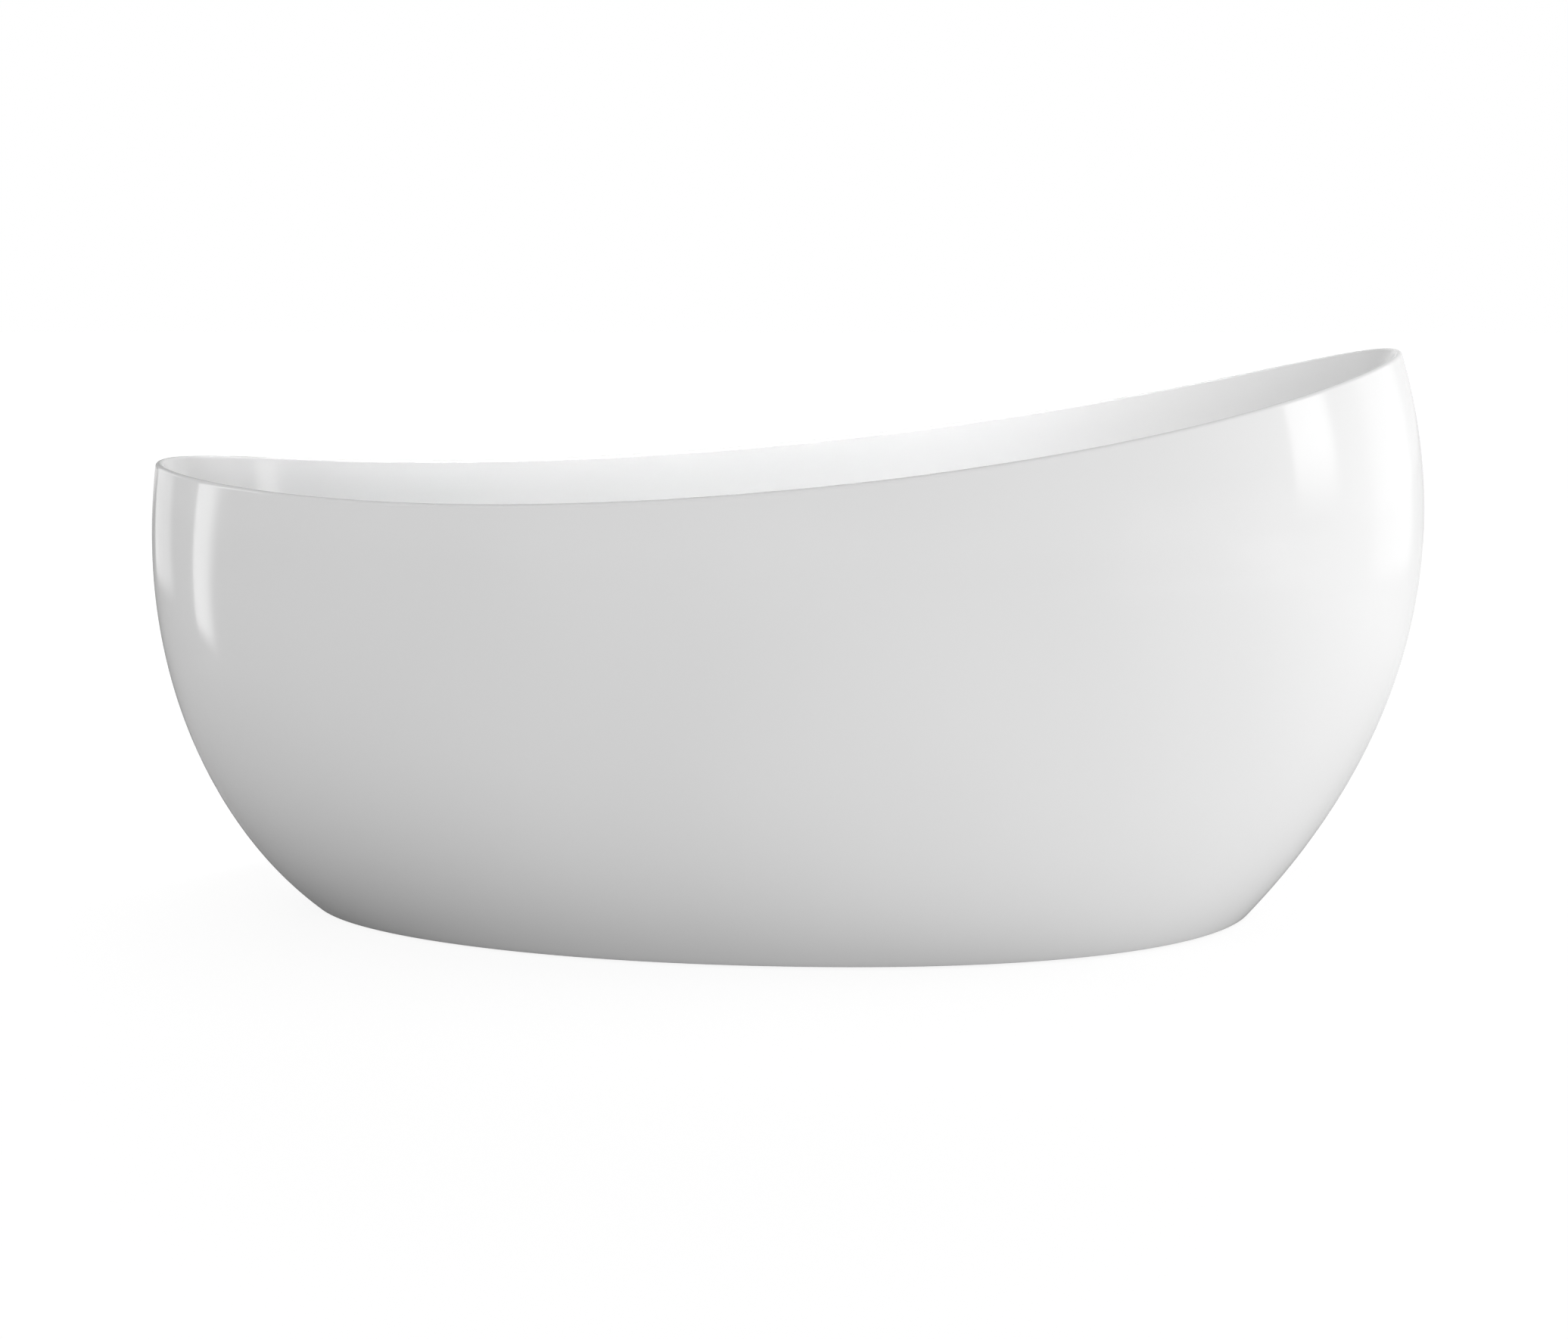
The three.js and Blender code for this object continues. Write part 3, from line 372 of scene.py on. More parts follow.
def well_point(angle, climb):
    """Well's wall: from the rim's inner edge it drops by a power of the sine, while it leans in
    and bends into the floor by a power of the cosine of the same turn."""
    edge = rim_point(angle, math.pi)
    depth = edge[..., 2] - FLOOR_HEIGHT - FLOOR_FALL
    turn = (1 - np.clip(climb, 0, 1)) * math.pi / 2
    drop = np.sin(turn) ** (2 / BEND_EXPONENT)
    bend = 1 - np.abs(np.cos(turn)) ** (2 / BEND_EXPONENT)
    top = [side + RIM_WIDTH for side in outer_insets(rim_height(angle))]
    walls = ((REACH_FOOT, LEAN_FOOT), (REACH_HEAD, LEAN_HEAD), (REACH_SIDE, LEAN_SIDE))
    down = [
        side + lean * depth * drop + (reach - lean * depth) * bend
        for side, (reach, lean) in zip(top, walls)
    ]
    return edge + plan_point(angle, down, -depth * drop) - plan_point(angle, top, 0)


def well_back(angle, climb):
    """Back of the well's wall, a wall's thickness out along its normal."""
    return well_point(angle, climb) + WALL * normal_of(well_point, angle, climb)


FLOOR_FOOT_X = float(well_point(np.array([math.pi]), 0)[0, 0])
DRAIN_X = FLOOR_FOOT_X + DRAIN_SETBACK


def at_drain(points):
    """Moves a form from the bath's middle to the drain's axis."""
    return points + np.array([DRAIN_X, 0, 0])


def floor_point(angle, share, below=0.0):
    """Floor: straight in plan from a circle round the drain to the wall's foot, its fall easing
    off towards the wall as a parabola."""
    near = at_drain(about_z(RECESS_RADIUS + RECESS_SLOPE + RECESS_FLARE, 0, angle))
    point = near + share * (well_point(angle, 0) - near)
    point[..., 2] = FLOOR_HEIGHT + FLOOR_FALL * share * (2 - share) - below
    return point


# -------- acrylic shells


def skirt_mesh():
    """Skirt: its outer face up to the lip, back down its inner face, and the turned-in foot."""
    angle = around(COLUMNS)
    top = rim_height(angle) - LIP_HEIGHT

    def up_to(share, depth):
        """Ring a share of the way up to the lip, at a depth under the outer face."""
        return skirt_point(angle, SKIRT_CLEARANCE + share * (top - SKIRT_CLEARANCE), depth)

    def turned_in(z):
        """Inner edge of the turned-in foot at height z."""
        return plan_point(angle, [side + WALL + RETURN_WIDTH for side in outer_insets(z)], z)

    outer = []
    for quarter in np.linspace(0, math.pi / 2, 5)[:-1]:
        depth = EDGE_RADIUS * (1 - math.sin(quarter))
        z = SKIRT_CLEARANCE + EDGE_RADIUS * (1 - math.cos(quarter))
        outer.append(skirt_point(angle, np.full_like(angle, z), depth))
    outer += [up_to(share, 0) for share in np.linspace(EDGE_RADIUS / RIM_MID, 1, SKIRT_ROWS)]
    inner = [up_to(share, WALL) for share in np.linspace(1, 0.02, SKIRT_ROWS // 2)]
    level = SKIRT_CLEARANCE + RETURN_THICKNESS
    inner += [skirt_point(angle, np.full_like(angle, level), WALL),
              turned_in(level), turned_in(SKIRT_CLEARANCE)]
    backed = np.arange(len(outer) + len(inner)) >= len(outer)
    return woven("bath_skirt", np.array(outer + inner), (ACRYLIC, BACKING), backed)


def well_mesh():
    """Well: drain hole, back of the floor and wall, lip, rounded rim, and down the wet face."""
    angle = around(COLUMNS)
    recess = FLOOR_HEIGHT - RECESS_DEPTH
    climbs = np.linspace(0, 1, WELL_ROWS + 1)
    shares = np.linspace(0, 1, FLOOR_ROWS + 1)
    lip, out, up = rim_frame(angle)
    lip = lip - LIP_HEIGHT
    # Slope of the wall just below the rim, at which the rim's round ends
    down = well_point(angle, 0.94) - well_point(angle, 0.97)
    slope = np.arctan2(-np.sum(down * out, axis=-1), -np.sum(down * up, axis=-1))
    back = [
        at_drain(about_z(DRAIN_HOLE, recess - WALL, angle)),
        at_drain(about_z(RECESS_RADIUS + RECESS_FLARE, recess - WALL, angle)),
        *[floor_point(angle, share, WALL) for share in shares[::3]],
        *[well_back(angle, climb) for climb in climbs[2:-2:2]],
        skirt_point(angle, lip, RIM_WIDTH - WALL),
    ]
    wet = [
        *[skirt_point(angle, lip + step * MM, 0) for step in (0, 1.5, 3)],
        *[rim_point(angle, share * (math.pi - slope)) for share in np.linspace(0, 1, RIM_ROWS)],
        *[well_point(angle, climb) for climb in climbs[-4:0:-1]],
        *[floor_point(angle, share) for share in shares[::-1]],
    ]
    for turn in np.linspace(0, math.pi, 7):
        share = (1 + math.cos(turn)) / 2
        radius, height = RECESS_RADIUS + RECESS_SLOPE * share, recess + RECESS_DEPTH * share
        wet.append(at_drain(about_z(radius, height, angle)))
    wet.append(at_drain(about_z(DRAIN_HOLE, recess, angle)))
    backed = np.arange(len(back) + len(wet)) < len(back)
    return woven("bath_well", np.array(back + wet), (ACRYLIC, BACKING), backed)


# -------- forms of the fittings


def eased(corners, radius, steps=4):
    """Profile whose corners are rounded: each inner corner gives way to a parabola that touches
    both of its sides at the radius' distance, or at 0.45 of a shorter side."""
    corners = np.array(corners, float)
    points = [corners[:1]]
    share = np.linspace(0, 1, steps + 1)[:, None]
    for before, corner, after in zip(corners, corners[1:], corners[2:]):
        back, on = before - corner, after - corner
        reach = min(radius, 0.45 * np.linalg.norm(back), 0.45 * np.linalg.norm(on))
        start = corner + reach * unit(back)
        end = corner + reach * unit(on)
        points.append((1 - share) ** 2 * start + 2 * share * (1 - share) * corner + share**2 * end)
    return np.concatenate(points + [corners[-1:]])


def turned(profile, sides):
    """Solid of revolution about Z: a profile of radius and height carried round a full turn."""
    radius, height = np.array(profile).T[..., None]
    return about_z(radius, height, around(sides))


def ring(bore, radius, bottom, top, edge=0.5 * MM, sides=FINE_ROUND):
    """Turned ring with eased edges. Its profile starts and ends in the middle of the bore."""
    middle = (bottom + top) / 2
    outline = [(bore, bottom), (radius, bottom), (radius, top), (bore, top)]
    return turned(eased([(bore, middle), *outline, (bore, middle)], edge)[:-1], sides)


def rod(radius, bottom, top, edge=0.5 * MM, sides=ROUND):
    """Round rod about Z with eased edges."""
    return turned(eased([(0, bottom), (radius, bottom), (radius, top), (0, top)], edge), sides)


def prism(loop, bottom, top):
    """Upright prism of a loop of points in plan, closed to its middle at both ends."""
    loop = np.array(loop, float)
    middle = np.broadcast_to(loop.mean(axis=0), loop.shape)
    rows = ((middle, bottom), (loop, bottom), (loop, top), (middle, top))
    return np.array([np.column_stack([row, np.full(len(loop), z)]) for row, z in rows])


def spider(shaft, wall, reach, half_width, turns, bottom, top, edge=0.5 * MM):
    """Bearing for a shaft, and the flat spokes that hold it: rectangles in plan, each along a
    turn. Gives the forms to join and the hole to cut."""
    step = 0.2 * MM
    joined = [rod(shaft + wall, bottom, top, edge)]
    for turn in turns:
        way = np.array([math.cos(turn), math.sin(turn)])
        side = half_width * np.array([-way[1], way[0]])
        near, far = way * (shaft + 1 * MM), way * reach
        loop = [near + side, near - side, far - side, far + side]
        joined.append(prism(loop, bottom + step, top - step))
    return joined, [rod(shaft + SEAT_GAP, bottom - PAST, top + PAST)]


def polygon(corner, count, angle):
    """Radius of a regular polygon at an angle: its apothem over the cosine of the angle off the
    middle of a side."""
    side = TURN / count
    off = (angle - math.pi / 2) % side - side / 2
    return corner * math.cos(side / 2) / np.cos(off)


def hex_ends(corner, angle):
    """Rings at a hexagon's end, from its face inwards: how far in each lies, and its radii, cut
    back by a 30 degree cone from a round face of 0.93 of the hexagon's apothem."""
    slope = math.tan(math.pi / 6)
    face = 0.93 * corner * math.cos(math.pi / 6)
    depth = np.linspace(0, 1, 5) * (corner - face) * slope
    cone = face + depth / slope
    return depth, np.minimum(polygon(corner, 6, angle), cone[:, None])


def stacked(radii, heights, angle):
    """Rings about Z at their heights, each with one radius or with its own all round the turn."""
    rows = np.array([radius + 0 * angle for radius in radii])
    return about_z(rows, np.array(heights)[:, None], angle)


def hex_nut(bore, corner, bottom, top, sides=72):
    """Hexagon nut, coned at both faces, with a countersink at both ends of its bore."""
    angle = around(sides)
    depth, radii = hex_ends(corner, angle)
    sink = 0.8 * MM
    heights = [*(bottom + depth), *(top - depth[::-1]), top, top - sink, bottom + sink, bottom]
    return stacked([*radii, *radii[::-1], bore + sink, bore, bore, bore + sink], heights, angle)


def hex_block(corner, bottom, top):
    """Solid hexagon, coned at its top face."""
    angle = around(FINE_ROUND)
    depth, radii = hex_ends(corner, angle)
    heights = [bottom, bottom, *(top - depth[::-1]), top]
    return stacked([0, polygon(corner, 6, angle), *radii[::-1], 0], heights, angle)


def grip_nut(radius, start, end):
    """Eight-sided union nut on a pipe, with softened corners, quarter-round ends and an eased
    bore."""
    angle = around(FINE_ROUND)
    corner = radius + NUT_WALL
    side = np.minimum(polygon(corner, 8, angle), 0.975 * corner)
    ease, bore_ease = 1.2 * MM, 0.5 * MM
    share = np.linspace(1, 0, 5)
    outer = side - ease + ease * np.sqrt(1 - share**2)[:, None]
    low = start + ease * (1 - share)
    bore = radius + SEAT_GAP
    heights = [*low, *(start + end - low[::-1]), end, end - bore_ease, start + bore_ease, start]
    bores = [bore + bore_ease, bore, bore, bore + bore_ease]
    return stacked([*outer, *outer[::-1], *bores], heights, angle)


def smooth_path(points, steps):
    """Centripetal Catmull-Rom curve through points, at even steps along its length: a cubic from
    each point to the next, whose slopes at its ends come from the points on either side, timed
    by the roots of their distances."""
    points = np.array(points, float)
    ends = [2 * points[0] - points[1], *points, 2 * points[-1] - points[-2]]
    share = np.linspace(0, 1, 40, endpoint=False)[:, None]
    pieces = []
    for a, b, c, d in zip(ends, ends[1:], ends[2:], ends[3:]):
        gap = [math.sqrt(np.linalg.norm(q - p)) for p, q in ((a, b), (b, c), (c, d))]
        leave = ((b - a) / gap[0] - (c - a) / (gap[0] + gap[1]) + (c - b) / gap[1]) * gap[1]
        arrive = ((c - b) / gap[1] - (d - b) / (gap[1] + gap[2]) + (d - c) / gap[2]) * gap[1]
        cubic = 2 * (b - c) + leave + arrive
        square = 3 * (c - b) - 2 * leave - arrive
        pieces.append(b + share * leave + share**2 * square + share**3 * cubic)
    fine = np.concatenate(pieces + [points[-1:]])
    run = np.concatenate([[0], np.cumsum(np.linalg.norm(np.diff(fine, axis=0), axis=1))])
    even = np.linspace(0, run[-1], steps + 1)
    return np.stack([np.interp(even, run, column) for column in fine.T], axis=-1)


def carried(path, radius, sides=32):
    """Rings of a round section carried along a path. Each ring's frame is the last one's, turned
    only as far as the path turns, so that the tube doesn't twist."""
    along = unit(np.gradient(path, axis=0))
    side = unit(np.cross(along[0], (0.3, 0.5, 0.8)))
    angle = around(sides)[:, None]
    rings = []
    for point, way, reach in zip(path, along, np.broadcast_to(radius, len(path))):
        side = unit(side - way * (side @ way))
        across = np.cross(way, side)
        rings.append(point + reach * (np.cos(angle) * side + np.sin(angle) * across))
    return np.array(rings)


def pipe(path, radius, bore, edge=0.4 * MM):
    """Pipe along a path: out along it at the radius and back at the bore, with its outer edges
    broken at both ends."""
    start, end = unit(path[1] - path[0]) * edge, unit(path[-1] - path[-2]) * edge
    outside = np.concatenate([path[:1], path[:1] + start, path[1:-1], path[-1:] - end, path[-1:]])
    radii = np.full(len(outside), radius)
    radii[[0, -1]] -= edge
    return np.concatenate([carried(outside, radii), carried(path, bore)[::-1]])


def rounded_square(half, radius, steps=5):
    """Loop of a square with quarter-circle corners."""
    quarter = np.linspace(0, math.pi / 2, steps)
    corner = np.stack([np.cos(quarter), np.sin(quarter)], -1) * radius + (half - radius)
    spin = np.array([[0, 1], [-1, 0]])
    return np.concatenate([corner @ np.linalg.matrix_power(spin, turn) for turn in range(4)])


def square_tube(axis, start, end, side, height):
    """Welded square tube with rounded corners, along X (0) or Y (1), centred on a side and a
    height: out along its outer loop and back along its inner one."""
    outer = rounded_square(TUBE / 2, 2 * TUBE_WALL)
    inner = rounded_square(TUBE / 2 - TUBE_WALL, TUBE_WALL)
    rings = []
    for loop, place in ((outer, start), (outer, end), (inner, end), (inner, start)):
        rings.append(np.empty((len(loop), 3)))
        rings[-1][:, axis] = place
        rings[-1][:, 1 - axis] = side + loop[:, 0]
        rings[-1][:, 2] = height + loop[:, 1]
    return np.array(rings)


def threaded_rod(radius, pitch, bottom, top, per_turn=10, sides=24):
    """Rod with a rolled thread: its radius falls by 0.6 of the pitch and rises again once for
    each pitch climbed, a sharp wave with its crests cut off, and fades out at both ends."""
    rows = int((top - bottom) / pitch * per_turn)
    height = np.linspace(bottom, top, rows)[:, None]
    angle = around(sides)
    phase = (height / pitch - angle / TURN) % 1
    groove = np.clip(1.25 - 3 * np.abs(phase - 0.5), 0, 1) * 0.6 * pitch
    ends = np.clip(np.minimum(height - bottom, top - height) / pitch, 0, 1)
    wall = about_z(radius - groove * ends - 0.8 * MM * (1 - ends), height, angle)
    caps = [about_z(0, level, angle)[None] for level in (bottom, top)]
    return np.concatenate([caps[0], wall, caps[1]])


# -------- places of the fittings


def climb_at(angle, z):
    """Climb at which the well's wall passes a height, by halving."""
    low, high = 0.0, 1.0
    for _ in range(40):
        climb = (low + high) / 2
        if well_point(np.array([angle]), climb)[0, 2] < z:
            low = climb
        else:
            high = climb
    return low


def overflow_place():
    """Frame of the overflow: Z into the bath, along the wall's normal, and Y up the wall."""
    angle, climb = np.array([OVERFLOW_ANGLE]), climb_at(OVERFLOW_ANGLE, OVERFLOW_HEIGHT)
    into = -normal_of(well_point, angle, climb)[0]
    side = unit(np.cross((0, 0, 1), into))
    rotation = np.stack([side, np.cross(into, side), into])
    return rotation, well_point(angle, climb)[0]


OVERFLOW_TURN, OVERFLOW_CENTRE = overflow_place()
OVERFLOW_BACK = -WALL - BOSS_THICKNESS
ELBOW_TOP = OVERFLOW_BACK - GASKET - 2 * SEAT_GAP
ELBOW_BOTTOM = ELBOW_TOP - ELBOW_DEPTH
SPIGOT_END = -SEAT_RADIUS - BOSS_MARGIN - 2 * MM - NUT_LENGTH / 2
SPIGOT_LEVEL = ELBOW_BOTTOM + PIPE_RADIUS + 1 * MM
GLAND_END = -ELBOW_RADIUS - GLAND_LENGTH

BOARD_UNDER = FLOOR_HEIGHT - WALL - BOARD_THICKNESS
RAIL_UNDER = BOARD_UNDER - TUBE
CROSS_UNDER = RAIL_UNDER - TUBE
WASTE_TOP = FLOOR_HEIGHT - RECESS_DEPTH - WALL
WASTE_FLANGE_TOP = WASTE_TOP - GASKET
PIPE_LEVEL = RAIL_UNDER - PIPE_RADIUS - 8 * MM
WASTE_UNDER = PIPE_LEVEL - OUTLET_RADIUS - WASTE_WALL
PORT_END = WASTE_RADIUS + STUB
FAR_TURN, CABLE_TURN = 0.25 * TURN, 0.375 * TURN
TRAP_START = DRAIN_X + PORT_END + SEAT_GAP
TRAP_END = TRAP_START + 2 * STUB + 4 * TRAP_BEND


def at_overflow(points):
    """Turns and moves a form from the overflow's frame to the bath's."""
    return points @ OVERFLOW_TURN + OVERFLOW_CENTRE


def down_wall(points, side=0.0):
    """Turns a form about Z to point down the wall, at the level of the elbow's spigot."""
    x, y, z = np.moveaxis(points, -1, 0)
    return np.stack([x + side, -z, y + SPIGOT_LEVEL], -1)


def from_waste(points, turn=0.0):
    """Turns a form about Z to point to the head, or by a turn from there, at the pipes' level."""
    x, y, z = np.moveaxis(points, -1, 0)
    along = DRAIN_X + z * math.cos(turn) - y * math.sin(turn)
    return np.stack([along, z * math.sin(turn) + y * math.cos(turn), PIPE_LEVEL - x], -1)


def centre_of(node):
    """Middle of a CAD node's box."""
    low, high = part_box(node)
    return (low + high) / 2


# -------- finishes


def linear(hex_colour):
    """sRGB hex value as a linear colour."""
    parts = [int(hex_colour[i:i + 2], 16) / 255 for i in (1, 3, 5)]
    return [*[p / 12.92 if p <= 0.04045 else ((p + 0.055) / 1.055) ** 2.4 for p in parts], 1.0]


def add(tree, kind, inputs=(), **settings):
    """Adds a shader node with its settings, and fills its inputs with values or links."""
    node = tree.nodes.new("ShaderNode" + kind)
    for name, value in settings.items():
        setattr(node, name, value)
    for socket, value in dict(inputs).items():
        if isinstance(value, bpy.types.NodeSocket):
            tree.links.new(value, node.inputs[socket])
        else:
            node.inputs[socket].default_value = value
    return node


def bare_finish(name, sockets):
    """Material with plain values on its shader's sockets. Gives it, its node tree and the object's
    own coordinates."""
    material = bpy.data.materials.new(name)
    material.use_nodes = True
    tree = material.node_tree
    for socket, value in sockets.items():
        tree.nodes["Principled BSDF"].inputs[socket].default_value = value
    return material, tree, add(tree, "TexCoord").outputs["Object"]


def coat(tree, tone, colours, sheen, roughness, relief=None, depth=0.0, span=NOISE_MIDDLE):
    """Blends two colours as the tone crosses its span, spreads the middle of the sheen's noise
    over a range of roughness, and lets a relief stand out by a depth."""
    coated = tree.nodes["Principled BSDF"].inputs
    share = add(tree, "MapRange", {"Value": tone, "From Min": span[0], "From Max": span[1]})
    inputs = {"Factor": share.outputs["Result"], "A": linear(colours[0]), "B": linear(colours[1])}
    tint = add(tree, "Mix", inputs, data_type="RGBA")
    tree.links.new(tint.outputs["Result"], coated["Base Color"])
    (low, high), (smooth, rough) = NOISE_MIDDLE, roughness
    inputs = {"Value": sheen, "From Min": low, "From Max": high, "To Min": smooth, "To Max": rough}
    tree.links.new(add(tree, "MapRange", inputs).outputs["Result"], coated["Roughness"])
    if relief is not None:
        bump = add(tree, "Bump", {"Height": relief, "Distance": depth, "Strength": 1.0})
        tree.links.new(bump.outputs["Normal"], coated["Normal"])


def mottled(name, sockets, tone, colours, sheen, roughness, relief=None, depth=0.0, span=NOISE_MIDDLE):
    """Finish whose tone, sheen and relief each follow a noise, given by the size of its features
    in metres and its detail."""
    material, tree, place = bare_finish(name, sockets)
    noises = {None: None}
    for size, detail in {tone, sheen, relief} - {None}:
        noise = add(tree, "TexNoise", {"Vector": place, "Scale": 1 / size, "Detail": detail})
        noises[size, detail] = noise.outputs["Fac"]
    coat(tree, noises[tone], colours, noises[sheen], roughness, noises[relief], depth, span)
    return material


def glass_fibre_backing():
    """Chopped glass strand in polyester resin, sprayed on the back and rolled: yellowish white,
    matted with crossing strands some 30 mm long and 2 mm wide, half glossy where resin pooled."""
    material, tree, place = bare_finish("glass_fibre_backing", {"IOR": 1.55})
    strands = 0.0
    for lean, turn in ((0.75, 0.5), (-0.6, -0.6), (1.3, 1.0), (0.1, 1.9)):
        inputs = {"Vector": place, "Rotation": (0, lean, turn), "Scale": (1, 0.06, 0.06)}
        along_strand = add(tree, "Mapping", inputs, vector_type="TEXTURE").outputs["Vector"]
        strand = add(tree, "TexNoise", {"Vector": along_strand, "Scale": 1 / 0.03, "Detail": 1.5})
        strands = add(tree, "Math", {0: strands, 1: strand.outputs["Fac"]}, operation="MAXIMUM").outputs[0]
    coat(tree, strands, ("#cfc9a8", "#ece8d4"), strands, (0.3, 0.6), strands, 0.5 * MM)
    return material


def resin_bedded_chipboard():
    """Chipboard bedded in resin under the well: flat chips of mixed browns, some 3 mm across and
    1 mm thick, sealed with a thin, uneven coat of resin."""
    material, tree, place = bare_finish("resin_bedded_chipboard", {"IOR": 1.5})
    flat_place = add(tree, "Mapping", {"Vector": place, "Scale": (1, 1, 3)}).outputs["Vector"]
    inputs = {"Vector": flat_place, "Scale": 1 / 0.003, "Randomness": 1.0}
    chips = add(tree, "TexVoronoi", inputs).outputs
    chip_tone = add(tree, "SeparateColor", {"Color": chips["Color"]}).outputs["Red"]
    resin = add(tree, "TexNoise", {"Vector": place, "Scale": 1 / 0.05, "Detail": 3.0}).outputs["Fac"]
    coat(tree, chip_tone, ("#a98a5c", "#cfb489"), resin, (0.35, 0.7), chips["Distance"], 0.1 * MM, (0, 1))
    return material


# Cast acrylic sheet drawn over a mould: a deep, wet white gloss that reflects sharply, with a
# faint long wave left by the drawing and a slightly uneven sheen
ACRYLIC = mottled("cast_acrylic", {"IOR": 1.49}, (0.35, 1.0), ("#f2f2f2", "#f5f5f5"),
                  (0.02, 3.0), (0.075, 0.105), (0.09, 1.0), 0.05 * MM)

BACKING = glass_fibre_backing()

# Bright chrome over polished brass: a cool mirror, with wipe marks too fine to count that only
# soften it here and there
CHROME = mottled("bright_chrome_plating", {"Metallic": 1.0}, (0.03, 2.0), ("#d9dcde", "#e2e4e5"),
                 (0.006, 4.0), (0.04, 0.10), span=(0, 1))

# Blue-passivated zinc on cold-formed steel: a grey metal with cloudy, slightly blue and yellow
# patches and a fine satin grain
ZINC = mottled("zinc_plated_steel", {"Metallic": 1.0}, (0.02, 3.0), ("#aeb6bf", "#c2bfae"),
               (0.0012, 2.0), (0.28, 0.44), (0.0012, 2.0), 0.01 * MM)

# Grey polyester powder baked on welded tube: satin, with the slight orange peel of powder that
# flowed as it cured, some 1.5 mm across
POWDER = mottled("grey_powder_coating", {"IOR": 1.5}, (0.08, 2.0), ("#6a6e71", "#767a7d"),
                 (0.0015, 1.0), (0.42, 0.52), (0.0015, 1.0), 0.04 * MM)

# Black synthetic rubber, compression moulded: matt, with a dusty bloom and a fine tooth
RUBBER = mottled("moulded_rubber", {"IOR": 1.52}, (0.012, 3.0), ("#1f2022", "#303134"),
                 (0.0006, 2.0), (0.65, 0.85), (0.0006, 2.0), 0.02 * MM)

# White polypropylene, injection moulded: waxy and satin, with the spark-eroded texture of the
# tool and cloudy flow marks
WAXY = {"IOR": 1.49, "Subsurface Weight": 0.08, "Subsurface Scale": 2 * MM}
POLYPROPYLENE = mottled("moulded_polypropylene", WAXY, (0.03, 2.0), ("#e0e0da", "#eaeae5"),
                        (0.0008, 2.0), (0.38, 0.50), (0.0008, 2.0), 0.02 * MM)

# Dark polyamide cable sheath, extruded: smooth and satin, with faint patches of handling
SHEATH = mottled("extruded_sheath", {"IOR": 1.53}, (0.01, 3.0), ("#33363b", "#3f4248"),
                 (0.01, 3.0), (0.42, 0.56))

FINISH_OF_SLOT = {
    "white_acrylic": ACRYLIC,
    "chrome_plate": CHROME,
    "zinc_steel": ZINC,
    "powder_coated_steel": POWDER,
    "black_rubber": RUBBER,
    "white_polypropylene": POLYPROPYLENE,
    "cable_sheath": SHEATH,
    "bedded_board": resin_bedded_chipboard(),
}


def finish_nodes():
    """Every CAD node that still shows takes its slot's finish."""
    for part in frame["record"]["subparts"]:
        materials = frame["nodes"][part["node"]].data.materials
        materials.clear()
        materials.append(FINISH_OF_SLOT[part["material_slot"]])


# -------- shells and overflow


def make_shells():
    """Skirt, and the well with a boss behind the overflow, a seat before it and a hole through."""
    def tool(material, *sizes):
        """Rod about the overflow's axis whose faces give the well a material."""
        return woven("tool", at_overflow(rod(*sizes, sides=FINE_ROUND)), [material])

    add_piece("bath_skirt", skirt_mesh(), "white_acrylic", "outer_shell")
    boss = tool(BACKING, SEAT_RADIUS + BOSS_MARGIN, OVERFLOW_BACK, -WALL / 2, 0.8 * MM)
    seat = tool(ACRYLIC, SEAT_RADIUS, -SEAT_DEPTH, THROUGH)
    hole = tool(ACRYLIC, OVERFLOW_HOLE, -THROUGH, THROUGH)
    well = combined("bath_well", well_mesh(), [boss], [seat, hole])
    add_piece("bath_well", well, "white_acrylic", "inner_tub")


def make_overflow_plate():
    """Ring with three spokes to a bearing for the spindle."""
    bottom = SEAT_GAP - SEAT_DEPTH
    top = bottom + PLATE_THICKNESS
    body = ring(PLATE_BORE, PLATE_RADIUS, bottom, top, edge=0.8 * MM, sides=FINEST_ROUND)
    reach, turns = PLATE_BORE + 2 * MM, TURN / 4 + around(3)
    bearing = spider(SPINDLE_RADIUS, 4 * MM, reach, 3 * MM, turns, bottom, top, 0.6 * MM)
    mesh = combined("overflow_ring", body, *bearing)
    place = Matrix(OVERFLOW_TURN.T.tolist()).to_4x4()
    place.translation = Vector(OVERFLOW_CENTRE)
    mesh.transform(place)
    add_piece("overflow_ring", mesh, "chrome_plate", "overflow_plate")


def scalloped(angle):
    """Radius of the knob's edge: its circle, cut back by the circles of the finger scallops."""
    off = (angle + math.pi / SCALLOPS) % (TURN / SCALLOPS) - math.pi / SCALLOPS
    centre = KNOB_RADIUS + SCALLOP_RADIUS - SCALLOP_DEPTH
    across = centre * np.sin(off)
    near = centre * np.cos(off) - np.sqrt(np.maximum(SCALLOP_RADIUS**2 - across**2, 0))
    return np.where(np.abs(across) < SCALLOP_RADIUS, np.minimum(near, KNOB_RADIUS), KNOB_RADIUS)


